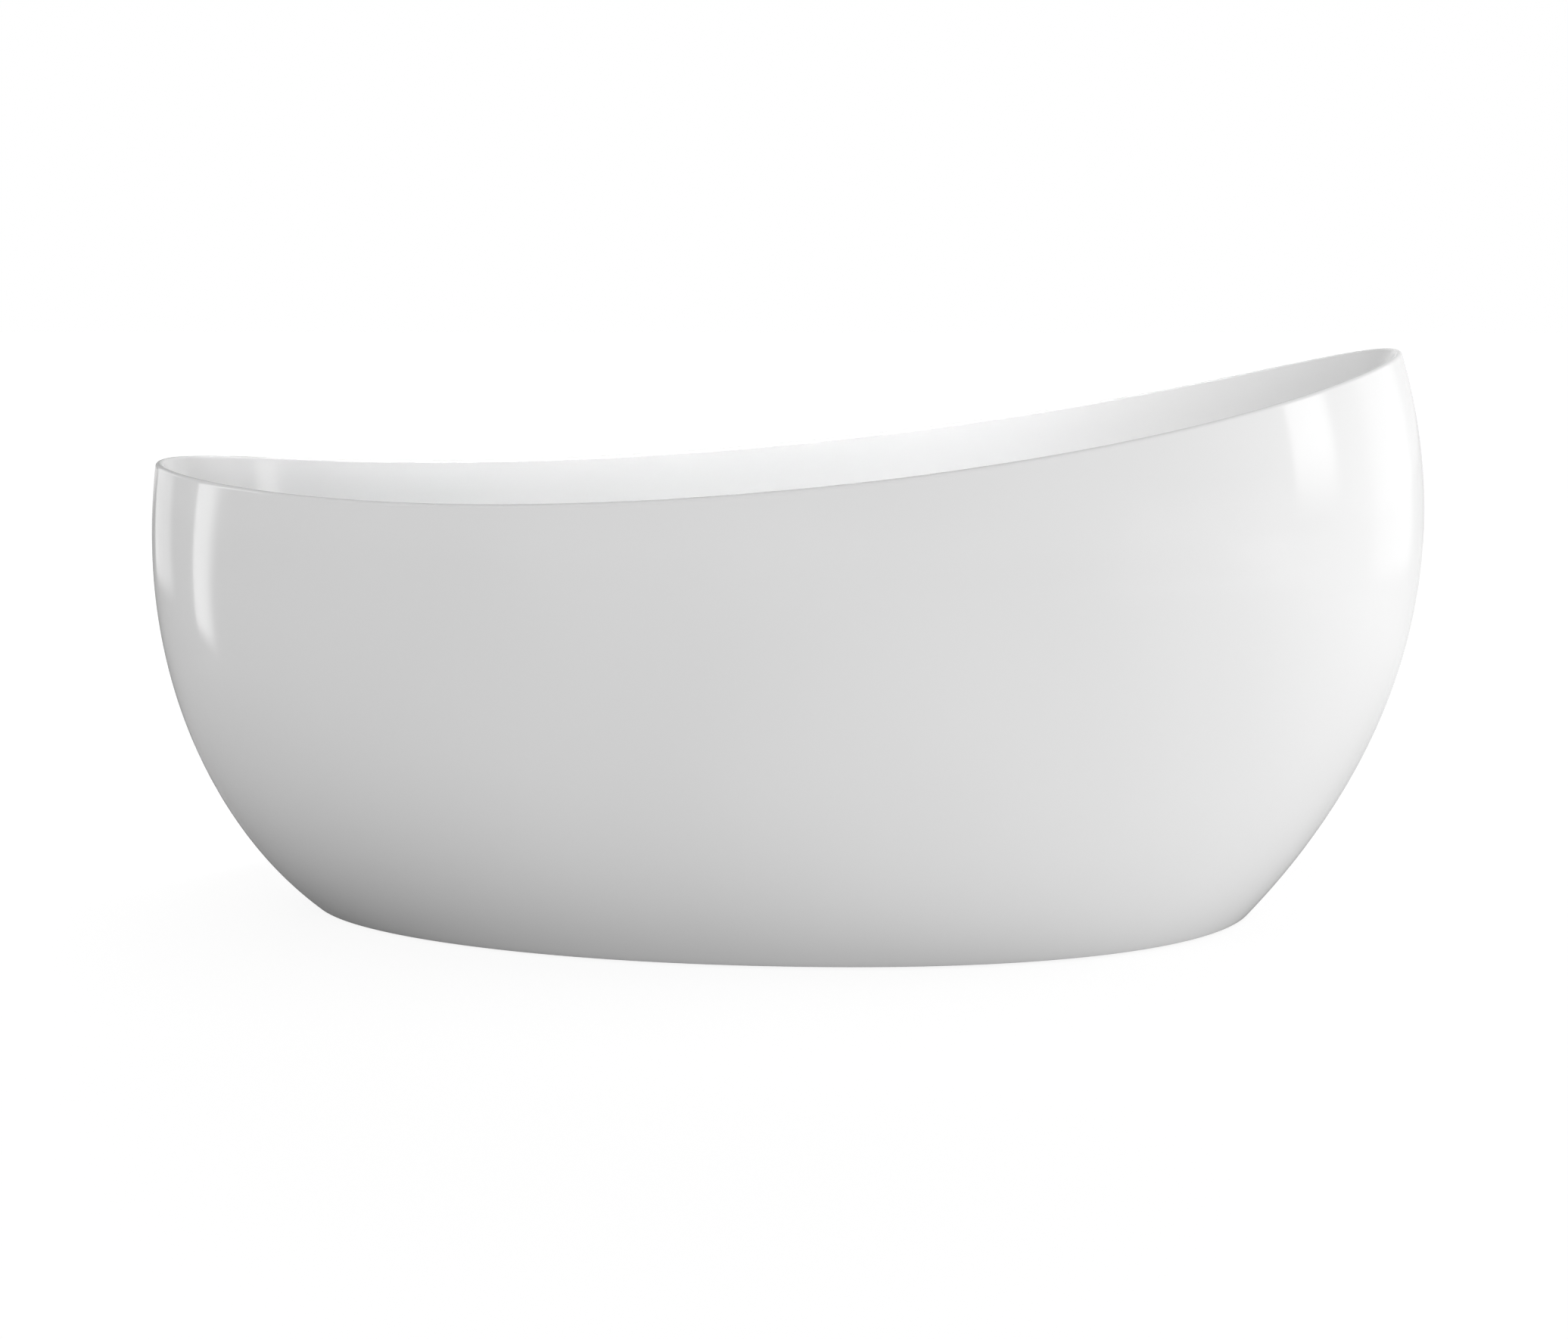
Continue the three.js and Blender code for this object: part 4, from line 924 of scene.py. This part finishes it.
def make_overflow_knob():
    """Knob on its spindle, dished by a cube of the radius. Its profile shrinks towards the
    scallops in its outer part, by a smooth step, so that the rounded edge follows them."""
    under = PLATE_THICKNESS - SEAT_DEPTH + KNOB_STAND_OFF
    top, edge = under + KNOB_HEIGHT, KNOB_HEIGHT / 2
    rim, bevel = KNOB_RADIUS - edge, KNOB_HEIGHT / 6
    dished = np.linspace(0.8 * KNOB_RADIUS, 0, 12)
    dish = zip(dished, top - KNOB_DISH * (1 - (dished / rim) ** 3))
    corners = [
        (0, -SPINDLE_REACH), (SPINDLE_RADIUS, -SPINDLE_REACH), (SPINDLE_RADIUS, under),
        (rim, under), (KNOB_RADIUS, under + bevel), (KNOB_RADIUS, top - edge),
        (KNOB_RADIUS - bevel, top - bevel), (rim, top), *dish,
    ]
    radius, height = eased(corners, 1.6 * MM, 6).T[..., None]
    angle = around(240)
    start, end = 0.6 * KNOB_RADIUS, 0.88 * KNOB_RADIUS
    outer = np.clip((radius - start) / (end - start), 0, 1)
    share = outer**2 * (3 - 2 * outer)
    radius = radius * (1 - share * (1 - scalloped(angle) / KNOB_RADIUS))
    add_piece("overflow_handle", at_overflow(about_z(radius, height, angle)), "chrome_plate",
              "overflow_knob", "overflow_knob", sharp=math.radians(50))


def make_elbow():
    """Hollow elbow behind the wall, its gasket, and the union nut on its spigot."""
    body = rod(ELBOW_RADIUS, ELBOW_BOTTOM, ELBOW_TOP - ELBOW_FLANGE / 2, edge=2 * MM)
    joined = [
        rod(GASKET_RADIUS, ELBOW_TOP - ELBOW_FLANGE, ELBOW_TOP, edge=0.8 * MM, sides=FINE_ROUND),
        down_wall(rod(PIPE_RADIUS, 0, -SPIGOT_END, edge=0.8 * MM)),
        down_wall(rod(GLAND_RADIUS, 0, -GLAND_END, edge=1 * MM), -CABLE_SIDE),
    ]
    cut = [
        rod(ELBOW_RADIUS - ELBOW_WALL, ELBOW_BOTTOM + ELBOW_WALL, ELBOW_TOP + PAST, edge=2 * MM),
        down_wall(rod(PIPE_BORE, 0, PAST - SPIGOT_END)),
        down_wall(rod(CABLE_RADIUS + SEAT_GAP, 0, PAST - GLAND_END), -CABLE_SIDE),
    ]
    mesh = combined("overflow_housing", at_overflow(body), map(at_overflow, joined), map(at_overflow, cut))
    add_piece("overflow_housing", mesh, "white_polypropylene", "overflow_elbow")
    top = OVERFLOW_BACK - SEAT_GAP
    washer = ring(ELBOW_RADIUS, GASKET_RADIUS, top - GASKET, top, edge=0.6 * MM)
    add_piece("overflow_washer", at_overflow(washer), "black_rubber", "overflow_gasket")
    nut = grip_nut(PIPE_RADIUS, -SPIGOT_END - NUT_LENGTH / 2, -SPIGOT_END + NUT_LENGTH / 2)
    add_piece("overflow_union", at_overflow(down_wall(nut)), "white_polypropylene", "overflow_nut")


# -------- pipe and cable


def between_shells(angle, z, share=0.5):
    """Point between the well's wall and the skirt, on the overflow's side."""
    angle = np.array([angle])
    inner = well_back(angle, climb_at(angle[0], z))[0]
    outer = skirt_point(angle, z, WALL)[0]
    point = inner + share * (outer - inner)
    return np.array([point[0], point[1], z])


def route_down(side, exit_level, drift, angle, share=0.5):
    """Points that leave the elbow down the wall and fall between the shells, and the one where
    they turn in under the well."""
    start = at_overflow(np.array([-side, exit_level - SEAT_GAP, SPIGOT_LEVEL]))
    below = at_overflow(np.array([-side - drift, exit_level - 25 * MM, SPIGOT_LEVEL]))
    falls = [between_shells(angle, z) for z in (OVERFLOW_HEIGHT - 0.15, PIPE_LEVEL + 0.15)]
    turn = between_shells(angle, PIPE_LEVEL + 0.07, share)
    return [start, below, *falls, turn], turn


def make_overflow_pipe():
    """Pipe from the elbow down between the shells, under the rail and into the waste body."""
    route, turn = route_down(0, SPIGOT_END, 0, OVERFLOW_ANGLE + 0.02, 0.55)
    sides = (turn[1] - 45 * MM, PORT_END + 50 * MM, PORT_END + SEAT_GAP)
    route += [(DRAIN_X, y, PIPE_LEVEL) for y in sides]
    points = pipe(smooth_path(route, 160), PIPE_RADIUS, PIPE_BORE)
    add_piece("overflow_downpipe", points, "white_polypropylene", "overflow_pipe")


def make_cable():
    """Sheath from the knob's gland to the waste body's, beside the pipe."""
    way = np.array([math.cos(CABLE_TURN), math.sin(CABLE_TURN), 0])

    def gland(reach):
        """Point on the waste body's gland, a reach past its end."""
        return np.array([DRAIN_X, 0, PIPE_LEVEL]) + way * (WASTE_RADIUS + GLAND_LENGTH + reach)

    route, turn = route_down(CABLE_SIDE, GLAND_END, 4 * MM, OVERFLOW_ANGLE + 0.09)
    sweep = gland(90 * MM)
    route += [
        (turn[0], turn[1] - 45 * MM, PIPE_LEVEL + CABLE_RADIUS),
        (turn[0], sweep[1], sweep[2]),
        gland(30 * MM),
        gland(SEAT_GAP),
    ]
    path = smooth_path(route, 200)
    rings = carried(path, CABLE_RADIUS, 20)
    start, end = (np.broadcast_to(point, rings[0].shape) for point in (path[0], path[-1]))
    add_piece("control_sheath", np.array([start, *rings, end]), "cable_sheath", "control_cable")


# -------- drain and trap


def make_drain_funnel():
    """Chrome flange with its throat, and the spider that guides the plug's stem."""
    sleeve, seat = WASTE_FLANGE_TOP - SLEEVE_LENGTH, FLOOR_HEIGHT - RECESS_DEPTH
    profile = [
        (THROAT_BORE, THROAT_END), (THROAT_BORE, sleeve), (THROAT_RADIUS, sleeve),
        (THROAT_RADIUS, seat), (FLANGE_RADIUS, seat), (FLANGE_RADIUS, FLANGE_TOP - 0.8 * MM),
        (FLANGE_RADIUS - 2 * MM, FLANGE_TOP), (PLUG_RADIUS + 3 * MM, FLANGE_TOP),
        (PLUG_RADIUS + 1 * MM, FLANGE_TOP - 1 * MM), (THROAT_BORE, FLANGE_TOP - 5 * MM),
        (THROAT_BORE, THROAT_END),
    ]
    body = turned(eased(profile, 0.6 * MM)[:-1], FINEST_ROUND)
    reach = THROAT_BORE + 1 * MM
    joined, cut = spider(PLUG_STEM, 3 * MM, reach, 1.5 * MM, around(4), SPIDER_UNDER, SPIDER_TOP)
    mesh = combined("drain_funnel", at_drain(body), map(at_drain, joined), map(at_drain, cut))
    add_piece("drain_funnel", mesh, "chrome_plate", "drain_flange")


def make_drain_gasket():
    """Gasket between the floor's underside and the waste body."""
    washer = ring(DRAIN_HOLE, FLANGE_RADIUS, WASTE_FLANGE_TOP, WASTE_TOP, edge=0.6 * MM)
    add_piece("drain_washer", at_drain(washer), "black_rubber", "drain_gasket")


def make_plug():
    """Plug on its stem, with a top domed by a square, and the seal round its neck."""
    rim = PLUG_RADIUS - 2 * MM
    domed = np.linspace(rim, 0, 12)
    dome = zip(domed, PLUG_UNDER + PLUG_CROWN - PLUG_FALL * (domed / rim) ** 2)
    neck = PLUG_UNDER - NECK_LENGTH
    profile = [
        (0, STEM_END), (PLUG_STEM, STEM_END), (PLUG_STEM, neck), (PLUG_NECK, neck),
        (PLUG_NECK, PLUG_UNDER), (PLUG_RADIUS, PLUG_UNDER), (PLUG_RADIUS, PLUG_UNDER + PLUG_EDGE),
        *dome,
    ]
    plug = turned(eased(profile, 0.7 * MM), FINEST_ROUND)
    add_piece("pop_up_plug", at_drain(plug), "chrome_plate", "drain_plug", "drain_plug")
    top = PLUG_UNDER - SEAT_GAP
    seal = ring(PLUG_NECK + SEAT_GAP, SEAL_RADIUS, top - SEAL_HEIGHT, top, edge=1.1 * MM)
    add_piece("plug_ring", at_drain(seal), "black_rubber", "plug_seal", "drain_plug")


def make_union(name, node, radius, reach, turn=0.0):
    """Union nut on a pipe, over the joint at a reach from the drain's axis."""
    nut = grip_nut(radius, reach - NUT_LENGTH / 2, reach + NUT_LENGTH / 2)
    add_piece(name, from_waste(nut, turn), "white_polypropylene", node)


def make_waste():
    """Cup under the drain with its ports, and the union nut of the overflow pipe."""
    gland = WASTE_RADIUS + GLAND_LENGTH
    top = WASTE_FLANGE_TOP
    body = rod(WASTE_RADIUS, WASTE_UNDER, top - 1 * MM, edge=4 * MM, sides=FINE_ROUND)
    flange = rod(FLANGE_RADIUS, top - 4 * MM, top, edge=0.8 * MM, sides=FINE_ROUND)
    inside = rod(THROAT_RADIUS + SEAT_GAP, WASTE_UNDER + WASTE_WALL, top + PAST, edge=3 * MM)
    joined = [
        at_drain(flange),
        from_waste(rod(OUTLET_RADIUS, 0, PORT_END, edge=0.8 * MM)),
        from_waste(rod(PIPE_RADIUS, 0, PORT_END, edge=0.8 * MM), FAR_TURN),
        from_waste(rod(GLAND_RADIUS, 0, gland, edge=1 * MM), CABLE_TURN),
    ]
    cut = [
        at_drain(inside),
        from_waste(rod(OUTLET_BORE, 0, PORT_END + PAST)),
        from_waste(rod(PIPE_BORE, 0, PORT_END + PAST), FAR_TURN),
        from_waste(rod(CABLE_RADIUS + SEAT_GAP, 0, gland + PAST), CABLE_TURN),
    ]
    mesh = combined("waste_cup", at_drain(body), joined, cut)
    add_piece("waste_cup", mesh, "white_polypropylene", "waste_body")
    make_union("inlet_union", "waste_inlet_nut", PIPE_RADIUS, PORT_END, FAR_TURN)


def arc(centre, radius, first, last):
    """Points on a circle in the plane of the pipes, every 30 degrees, its top at their level."""
    for turn in np.radians(np.linspace(first, last, abs(last - first) // 30 + 1)):
        yield centre + radius * math.cos(turn), 0, PIPE_LEVEL - radius + radius * math.sin(turn)


def make_trap():
    """Shallow trap, whose pipe goes down, up and level again by three arcs, and its union nuts."""
    half = NUT_LENGTH / 2
    route = [(TRAP_START, 0, PIPE_LEVEL), (TRAP_START + half, 0, PIPE_LEVEL)]
    for centre, first, last in ((0, 90, 0), (2, 180, 360), (4, 180, 90)):
        for point in arc(TRAP_START + STUB + centre * TRAP_BEND, TRAP_BEND, first, last):
            if np.linalg.norm(np.subtract(point, route[-1])) > MM:
                route.append(point)
    route += [(TRAP_END - half, 0, PIPE_LEVEL), (TRAP_END, 0, PIPE_LEVEL)]
    points = pipe(smooth_path(route, 140), OUTLET_RADIUS, OUTLET_BORE)
    add_piece("trap_pipe", points, "white_polypropylene", "trap_bend")
    make_union("trap_inlet_union", "trap_inlet_nut", OUTLET_RADIUS, PORT_END)
    make_union("trap_outlet_union", "trap_outlet_nut", OUTLET_RADIUS, TRAP_END - DRAIN_X)


def make_outlet():
    """Elbow from the trap, level and then down by one arc to the floor drain."""
    start = TRAP_END + SEAT_GAP
    straight = start + NUT_LENGTH / 2
    centre = straight + 4 * MM
    route = [(start, 0, PIPE_LEVEL), (straight, 0, PIPE_LEVEL), *arc(centre, OUTLET_BEND, 90, 0)]
    route.append((centre + OUTLET_BEND, 0, PIPE_LEVEL - OUTLET_BEND - OUTLET_TAIL))
    points = pipe(smooth_path(route, 60), OUTLET_RADIUS, OUTLET_BORE)
    add_piece("outlet_pipe", points, "white_polypropylene", "outlet_elbow")


# -------- frame and feet


def make_board():
    """Board bedded under the floor, whose fall it follows."""
    angle = around(160)

    def flat(share):
        """Ring of the floor's plan, laid flat at the board's underside."""
        points = floor_point(angle, share)
        points[..., 2] = BOARD_UNDER
        return points

    shares = np.linspace(BOARD_OUTER, BOARD_INNER, 9)
    bedded = [floor_point(angle, share, WALL + SEAT_GAP) for share in shares]
    points = np.array([flat(BOARD_INNER), flat(BOARD_OUTER), *bedded])
    add_piece("bedded_base", points, "bedded_board", "base_board")


def make_rails():
    """Tube along each side, in its CAD node's place."""
    for side in SIDES:
        low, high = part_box(f"{side}_rail")
        _, y, z = centre_of(f"{side}_rail")
        tube = square_tube(0, low[0], high[0], y, z)
        add_piece(f"{side}_side_rail", tube, "powder_coated_steel", f"{side}_rail")


def make_cross_member(name, feet):
    """Square tube across the bath, drilled for the studs, with a nut welded over each hole."""
    node = f"cross_member_{name}"
    (low, high), (x, _, _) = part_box(node), centre_of(node)
    top = CROSS_UNDER + TUBE
    nut = hex_block(NUT_RADIUS, top - TUBE_WALL / 2, top + NUT_HEIGHT)
    hole = rod(STUD_RADIUS + SEAT_GAP, CROSS_UNDER - PAST, top + NUT_HEIGHT + PAST)
    places = [np.array([x, y, 0]) for y in feet]
    tube = square_tube(1, low[1], high[1], x, CROSS_UNDER + TUBE / 2)
    mesh = combined(f"cross_tube_{name}", tube, [place + nut for place in places],
                    [place + hole for place in places])
    add_piece(f"cross_tube_{name}", mesh, "powder_coated_steel", node)


def make_welds(name):
    """Fillet welds where the rails cross a member: beads that taper to both ends by a fourth
    power, and whose width ripples by a sine as they were laid."""
    x = centre_of(f"cross_member_{name}")[0]
    share = np.linspace(0, 1, 60)
    ripple = 1 + 0.07 * np.sin(share * TURN * WELD_RIPPLES)
    radius = WELD_RADIUS * np.sqrt(1 - (2 * share - 1) ** 4) * ripple
    for rail in SIDES:
        low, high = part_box(f"{rail}_rail")
        for side, y in (("inner", low[1]), ("outer", high[1])):
            ends = [[x + end, y, RAIL_UNDER] for end in (-WELD_HALF_LENGTH, WELD_HALF_LENGTH)]
            bead = carried(np.linspace(*ends, len(share)), radius, 16)
            add_piece(f"weld_{name}_{rail}_{side}", bead, "powder_coated_steel", sharp=math.pi)


def pan_head_screw():
    """Head of a socket screw that sits on z = 0: a quarter ellipse over a hexagon socket."""
    angle = around(48)
    socket = polygon(SCREW_SOCKET, 6, angle)
    seat, brim, floor, head, crown = 0.05 * MM, 0.9 * MM, 1.4 * MM, 3.2 * MM, 2.9 * MM
    radii, heights = [0, socket, socket], [floor, floor, head]
    for turn in np.linspace(0, math.pi / 2, 7):
        radii.append(crown + (SCREW_RADIUS - crown) * math.sin(turn))
        heights.append(brim + (head - brim) * math.cos(turn))
    return stacked([*radii, SCREW_RADIUS, 0], [*heights, seat, seat], angle)


def make_bracket_screws(name):
    """Pan-head screws that hold a bracket down on the end of its cross member."""
    x = centre_of(f"cross_member_{name}")[0]
    z = CROSS_UNDER + TUBE + BRACKET_THICKNESS
    for side in SIDES:
        low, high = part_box(f"skirt_bracket_{name}_{side}")
        inner, out = (low[1], 1) if side == "far" else (high[1], -1)
        for number, reach in enumerate((10 * MM, 30 * MM), 1):
            points = pan_head_screw() + np.array([x, inner + out * reach, z])
            add_piece(f"screw_{name}_{side}_{number}", points, "zinc_steel")


def make_foot(name):
    """Rubber-faced pad, threaded stud with its wrench collar, and the lock nut under the tube."""
    x, y, _ = centre_of(f"foot_pad_{name}")
    socket = STUD_RADIUS + SEAT_GAP
    profile = [
        (0, 0), (PAD_RADIUS, 0), (PAD_RADIUS, 3 * MM), (PAD_RADIUS - 8 * MM, PAD_HEIGHT),
        (socket, PAD_HEIGHT), (socket, PAD_SEAT), (0, PAD_SEAT),
    ]
    end = CROSS_UNDER + TUBE + NUT_HEIGHT + STUD_SPARE
    collar = PAD_HEIGHT + 2 * MM
    pad = turned(eased(profile, 1 * MM), FINE_ROUND)
    stud = threaded_rod(STUD_RADIUS, THREAD_PITCH, PAD_SEAT + SEAT_GAP, end)
    grip = hex_nut(STUD_RADIUS - MM, COLLAR_RADIUS, collar, collar + COLLAR_HEIGHT)
    nut = hex_nut(socket, NUT_RADIUS, CROSS_UNDER - NUT_HEIGHT, CROSS_UNDER)
    forms = (
        ("pad_moulding", pad, "black_rubber", "foot_pad", f"pad_{name}"),
        ("threaded_stud", stud, "zinc_steel", "foot_stud", f"stud_{name}"),
        ("wrench_collar", grip, "zinc_steel", None, f"stud_{name}"),
        ("jam_nut", nut, "zinc_steel", "lock_nut", "bath"),
    )
    for piece, points, slot, node, body in forms:
        points = points + np.array([x, y, 0])
        add_piece(f"{piece}_{name}", points, slot, node and f"{node}_{name}", body)


# -------- studio


def by_ray(tree, straight, mirrored, scattered):
    """Level that depends on the ray: straight from the camera or through glass, off a gloss, or
    scattered by a matt surface."""
    path = add(tree, "LightPath").outputs
    inputs = {0: path["Is Camera Ray"], 1: path["Is Transmission Ray"]}
    direct = add(tree, "Math", inputs, operation="MAXIMUM").outputs[0]
    inputs = {"Value": path["Is Glossy Ray"], "To Min": scattered, "To Max": mirrored}
    other = add(tree, "MapRange", inputs).outputs["Result"]
    return add(tree, "MapRange", {"Value": direct, "To Min": other, "To Max": straight}).outputs["Result"]


def rise(tree, place, start, end, low, high, way=None):
    """Level that rises smoothly from low to high, as a place gets from start to end away from the
    middle, or along a way."""
    inputs = {0: place} if way is None else {0: place, 1: way}
    measure = "LENGTH" if way is None else "DOT_PRODUCT"
    far = add(tree, "VectorMath", inputs, operation=measure).outputs["Value"]
    inputs = {"Value": far, "From Min": start, "From Max": end, "To Min": low, "To Max": high}
    return add(tree, "MapRange", inputs, interpolation_type="SMOOTHSTEP").outputs["Result"]


def staged(name, corners):
    """Flat object of the studio with an empty material. Gives the object and its node tree."""
    mesh = bpy.data.meshes.new(name)
    mesh.from_pydata(corners, [], [(0, 1, 2, 3)])
    piece = bpy.data.objects.new(name, mesh)
    bpy.context.scene.collection.objects.link(piece)
    material = bpy.data.materials.new(name)
    material.use_nodes = True
    material.node_tree.nodes.clear()
    mesh.materials.append(material)
    piece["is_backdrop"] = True
    return piece, material.node_tree


def shine(tree, body, level):
    """Surface of a body's shader with a glow of a level over it."""
    glow = add(tree, "Emission", {"Strength": level}).outputs[0]
    both = add(tree, "AddShader", {0: body.outputs[0], 1: glow}).outputs[0]
    add(tree, "OutputMaterial", {"Surface": both})


def studio_floor():
    """Pale floor that is seen as white, and that keeps the bath's soft shadow: its own glow, for rays
    straight from the camera, is lower near the bath, a painted shade round it, and grows to full
    white away from the bath. Glossy rays see a painted reflection, dark towards the foot and the
    front and brighter towards the head and the back. For scattered rays it glows with a painted
    bounce light that lights the bath: none within elliptic rings round the foot end's side of it,
    a painted shade under and beside it, and more outside them."""
    reach = FLOOR_REACH
    corners = [(-reach, -reach, 0), (reach, -reach, 0), (reach, reach, 0), (-reach, reach, 0)]
    _, tree = staged("studio_floor", corners)
    place = add(tree, "TexCoord").outputs["Object"]
    # Glow for camera rays: lower near the bath, a painted shade round it over its real shadow
    white = rise(tree, place, 0.6, 3.5, FLOOR_GLOW_PAINTED_SHADE, 1.0)
    # Floor as glossy rays see it: a painted reflection, darker towards the foot and front, brighter
    # towards the head and back
    mirrored = rise(tree, place, 0.2, 2.0, FLOOR_PAINTED_REFLECTION, 0.7, TO_WINDOW)
    inputs = {"Vector": place, "Location": (-0.25, 0, 0), "Scale": (0.8, 0.42, 1)}
    rings = add(tree, "Mapping", inputs, vector_type="TEXTURE").outputs["Vector"]
    # Glow for scattered rays: a painted bounce light round the bath, none under and beside it, where it
    # paints shade
    painted_bounce = rise(tree, rings, 0.95, 1.35, 0.0, FLOOR_PAINTED_BOUNCE)
    shine(tree, add(tree, "BsdfDiffuse", {"Color": FLOOR_TONE}), by_ray(tree, white, mirrored, painted_bounce))


def pale_world():
    """Even light from all round, seen as white. Glossy rays see a painted reflection, brighter than the
    light it casts and brightest at the head and the back.
    """
    world = bpy.data.worlds.new("studio")
    world.use_nodes = True
    bpy.context.scene.world = world
    tree = world.node_tree
    tree.nodes.clear()
    way = add(tree, "TexCoord").outputs["Object"]
    # Sky as glossy rays see it: a painted reflection, brightest towards the head and the back
    mirrored = rise(tree, way, 0.35, 0.75, SKY_MIRRORED, SKY_PAINTED_REFLECTION_BACK, TO_WINDOW)
    level = by_ray(tree, 1.0, mirrored, AMBIENT)
    sky = add(tree, "Background", {"Color": (1, 1, 1, 1), "Strength": level}).outputs[0]
    add(tree, "OutputWorld", {"Surface": sky})


def pane(name, corner, across, up, level, fade, foot=0.1):
    """Clear pane with a glow that only glossy surfaces show: a painted reflection, which lights
    nothing. The glow fades in and out over shares of the width at its start and end, and over a
    share of the height at its foot."""
    piece, tree = staged(name, [(0, 0, 0), (1, 0, 0), (1, 1, 0), (0, 1, 0)])
    axes = np.column_stack([across, up, np.cross(across, up), corner])
    piece.matrix_world = Matrix([*axes.tolist(), (0, 0, 0, 1)])
    for ray in ("camera", "diffuse", "transmission", "volume_scatter", "shadow"):
        setattr(piece, "visible_" + ray, False)
    place = add(tree, "TexCoord").outputs["Object"]
    glow = rise(tree, place, 0.0, foot, 0.0, level, (0, 1, 0))
    for edge, inside in ((0.0, fade[0]), (1.0, 1.0 - fade[1])):
        share = rise(tree, place, edge, inside, 0.0, 1.0, (1, 0, 0))
        glow = add(tree, "Math", {0: glow, 1: share}, operation="MULTIPLY").outputs[0]
    shine(tree, add(tree, "BsdfTransparent"), glow)


def panes():
    """Glowing panes past the two ends, seen only in reflections: painted reflections of windows, which the
    ends show as upright streaks.
    """
    pane("foot_pane", (-1.60, -0.06, 0.18), (0, -0.16, -0.14), (0, 0, 1.0), 3.2, (0.05, 0.5))
    pane("foot_back_pane", (-2.05, 0.26, 0.17), (0, 1.1, 0), (0, 0, 1.2), 1.0, (0.2, 0.2))
    pane("head_pane", (2.9, -0.6, 0.5), (0, -0.8, 0), (0, 0, 1.7), 3.0, (0.3, 0.1), foot=0.42)
    pane("head_back_pane", (2.9, -0.2, 0.0), (0, 1.9, 0), (0, 0, 2.2), 0.6, (0.15, 0.4))


def softbox(name, place, aim, size, power, spread=180):
    """Rectangular studio light that faces a point and leaves no reflection of its own. A grid may
    narrow the spread of degrees over which it shines."""
    light = bpy.data.lights.new(name, "AREA")
    light.shape = "RECTANGLE"
    light.size, light.size_y = size
    light.energy = power
    light.spread = math.radians(spread)
    lamp = bpy.data.objects.new(name, light)
    lamp.location = place
    lamp.rotation_euler = (Vector(aim) - Vector(place)).to_track_quat("-Z", "Y").to_euler()
    lamp.visible_glossy = False
    bpy.context.scene.collection.objects.link(lamp)


def lights():
    """Softboxes round the bath and over it, two narrow ones that shine in at the well's far wall,
    and one past each end."""
    middle = (0, 0, 0.4)
    softbox("key", (3.6, -3.2, 0.6), middle, (2.6, 1.1), 83)
    softbox("front", (0, -4.5, 0.5), middle, (6.0, 0.9), 34)
    softbox("back", (0.2, 4.0, 1.7), middle, (6.0, 1.2), 78)
    softbox("foot_fill", (-2.7, -2.4, 2.8), middle, (1.6, 1.4), 32)
    softbox("top", (0, 0, 3.4), middle, (3.0, 1.6), 22)
    softbox("inside", (-0.4, 0.05, 2.5), (-0.4, 0.42, 0.5), (1.7, 0.2), 2.6, spread=24)
    softbox("inside_head", (0.66, 0.05, 2.5), (0.69, 0.3, 0.65), (0.7, 0.2), 0.43, spread=24)
    softbox("head_side", (2.9, 0.0, 1.1), (0.74, -0.2, 0.55), (1.2, 1.9), 19)
    softbox("foot_side", (-2.05, -0.16, 0.45), (-0.74, -0.18, 0.3), (0.4, 0.86), 3.2)


def camera():
    """View down at the near side from a little above the rim, with a lens shift."""
    data = bpy.data.cameras.new("camera")
    data.lens, data.sensor_width = 46.93, 36.0
    data.shift_x, data.shift_y = -0.00945, -0.0107
    viewer = bpy.data.objects.new("camera", data)
    viewer.location = (0.0565, -2.7508, 0.8293)
    viewer.rotation_euler = (math.pi / 2 - 0.17458, 0.0, 0.01334)
    bpy.context.scene.collection.objects.link(viewer)
    bpy.context.scene.camera = viewer


def write_sizes():
    """Boxes of the frame as loaded and of the finished bath."""
    plain = lambda box: [list(map(float, corner)) for corner in box]
    {"cad": plain(cad_box), "visual": plain(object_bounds())}


# -------- the bath and its studio

finish_nodes()
make_shells()
make_overflow_plate()
make_overflow_knob()
make_elbow()
make_overflow_pipe()
make_cable()
make_drain_funnel()
make_drain_gasket()
make_plug()
make_waste()
make_trap()
make_outlet()
make_board()
make_rails()
for member, sides in (("foot_end", SIDES), ("middle", ()), ("head_end", SIDES)):
    feet = [f"{member}_{side}" for side in sides] or [member]
    make_cross_member(member, [centre_of(f"foot_pad_{foot}")[1] for foot in feet])
    make_welds(member)
    make_bracket_screws(member)
    for foot in feet:
        make_foot(foot)

studio_floor()
pale_world()
lights()
panes()
camera()
bpy.context.scene.view_settings.view_transform = "Standard"

write_sizes()
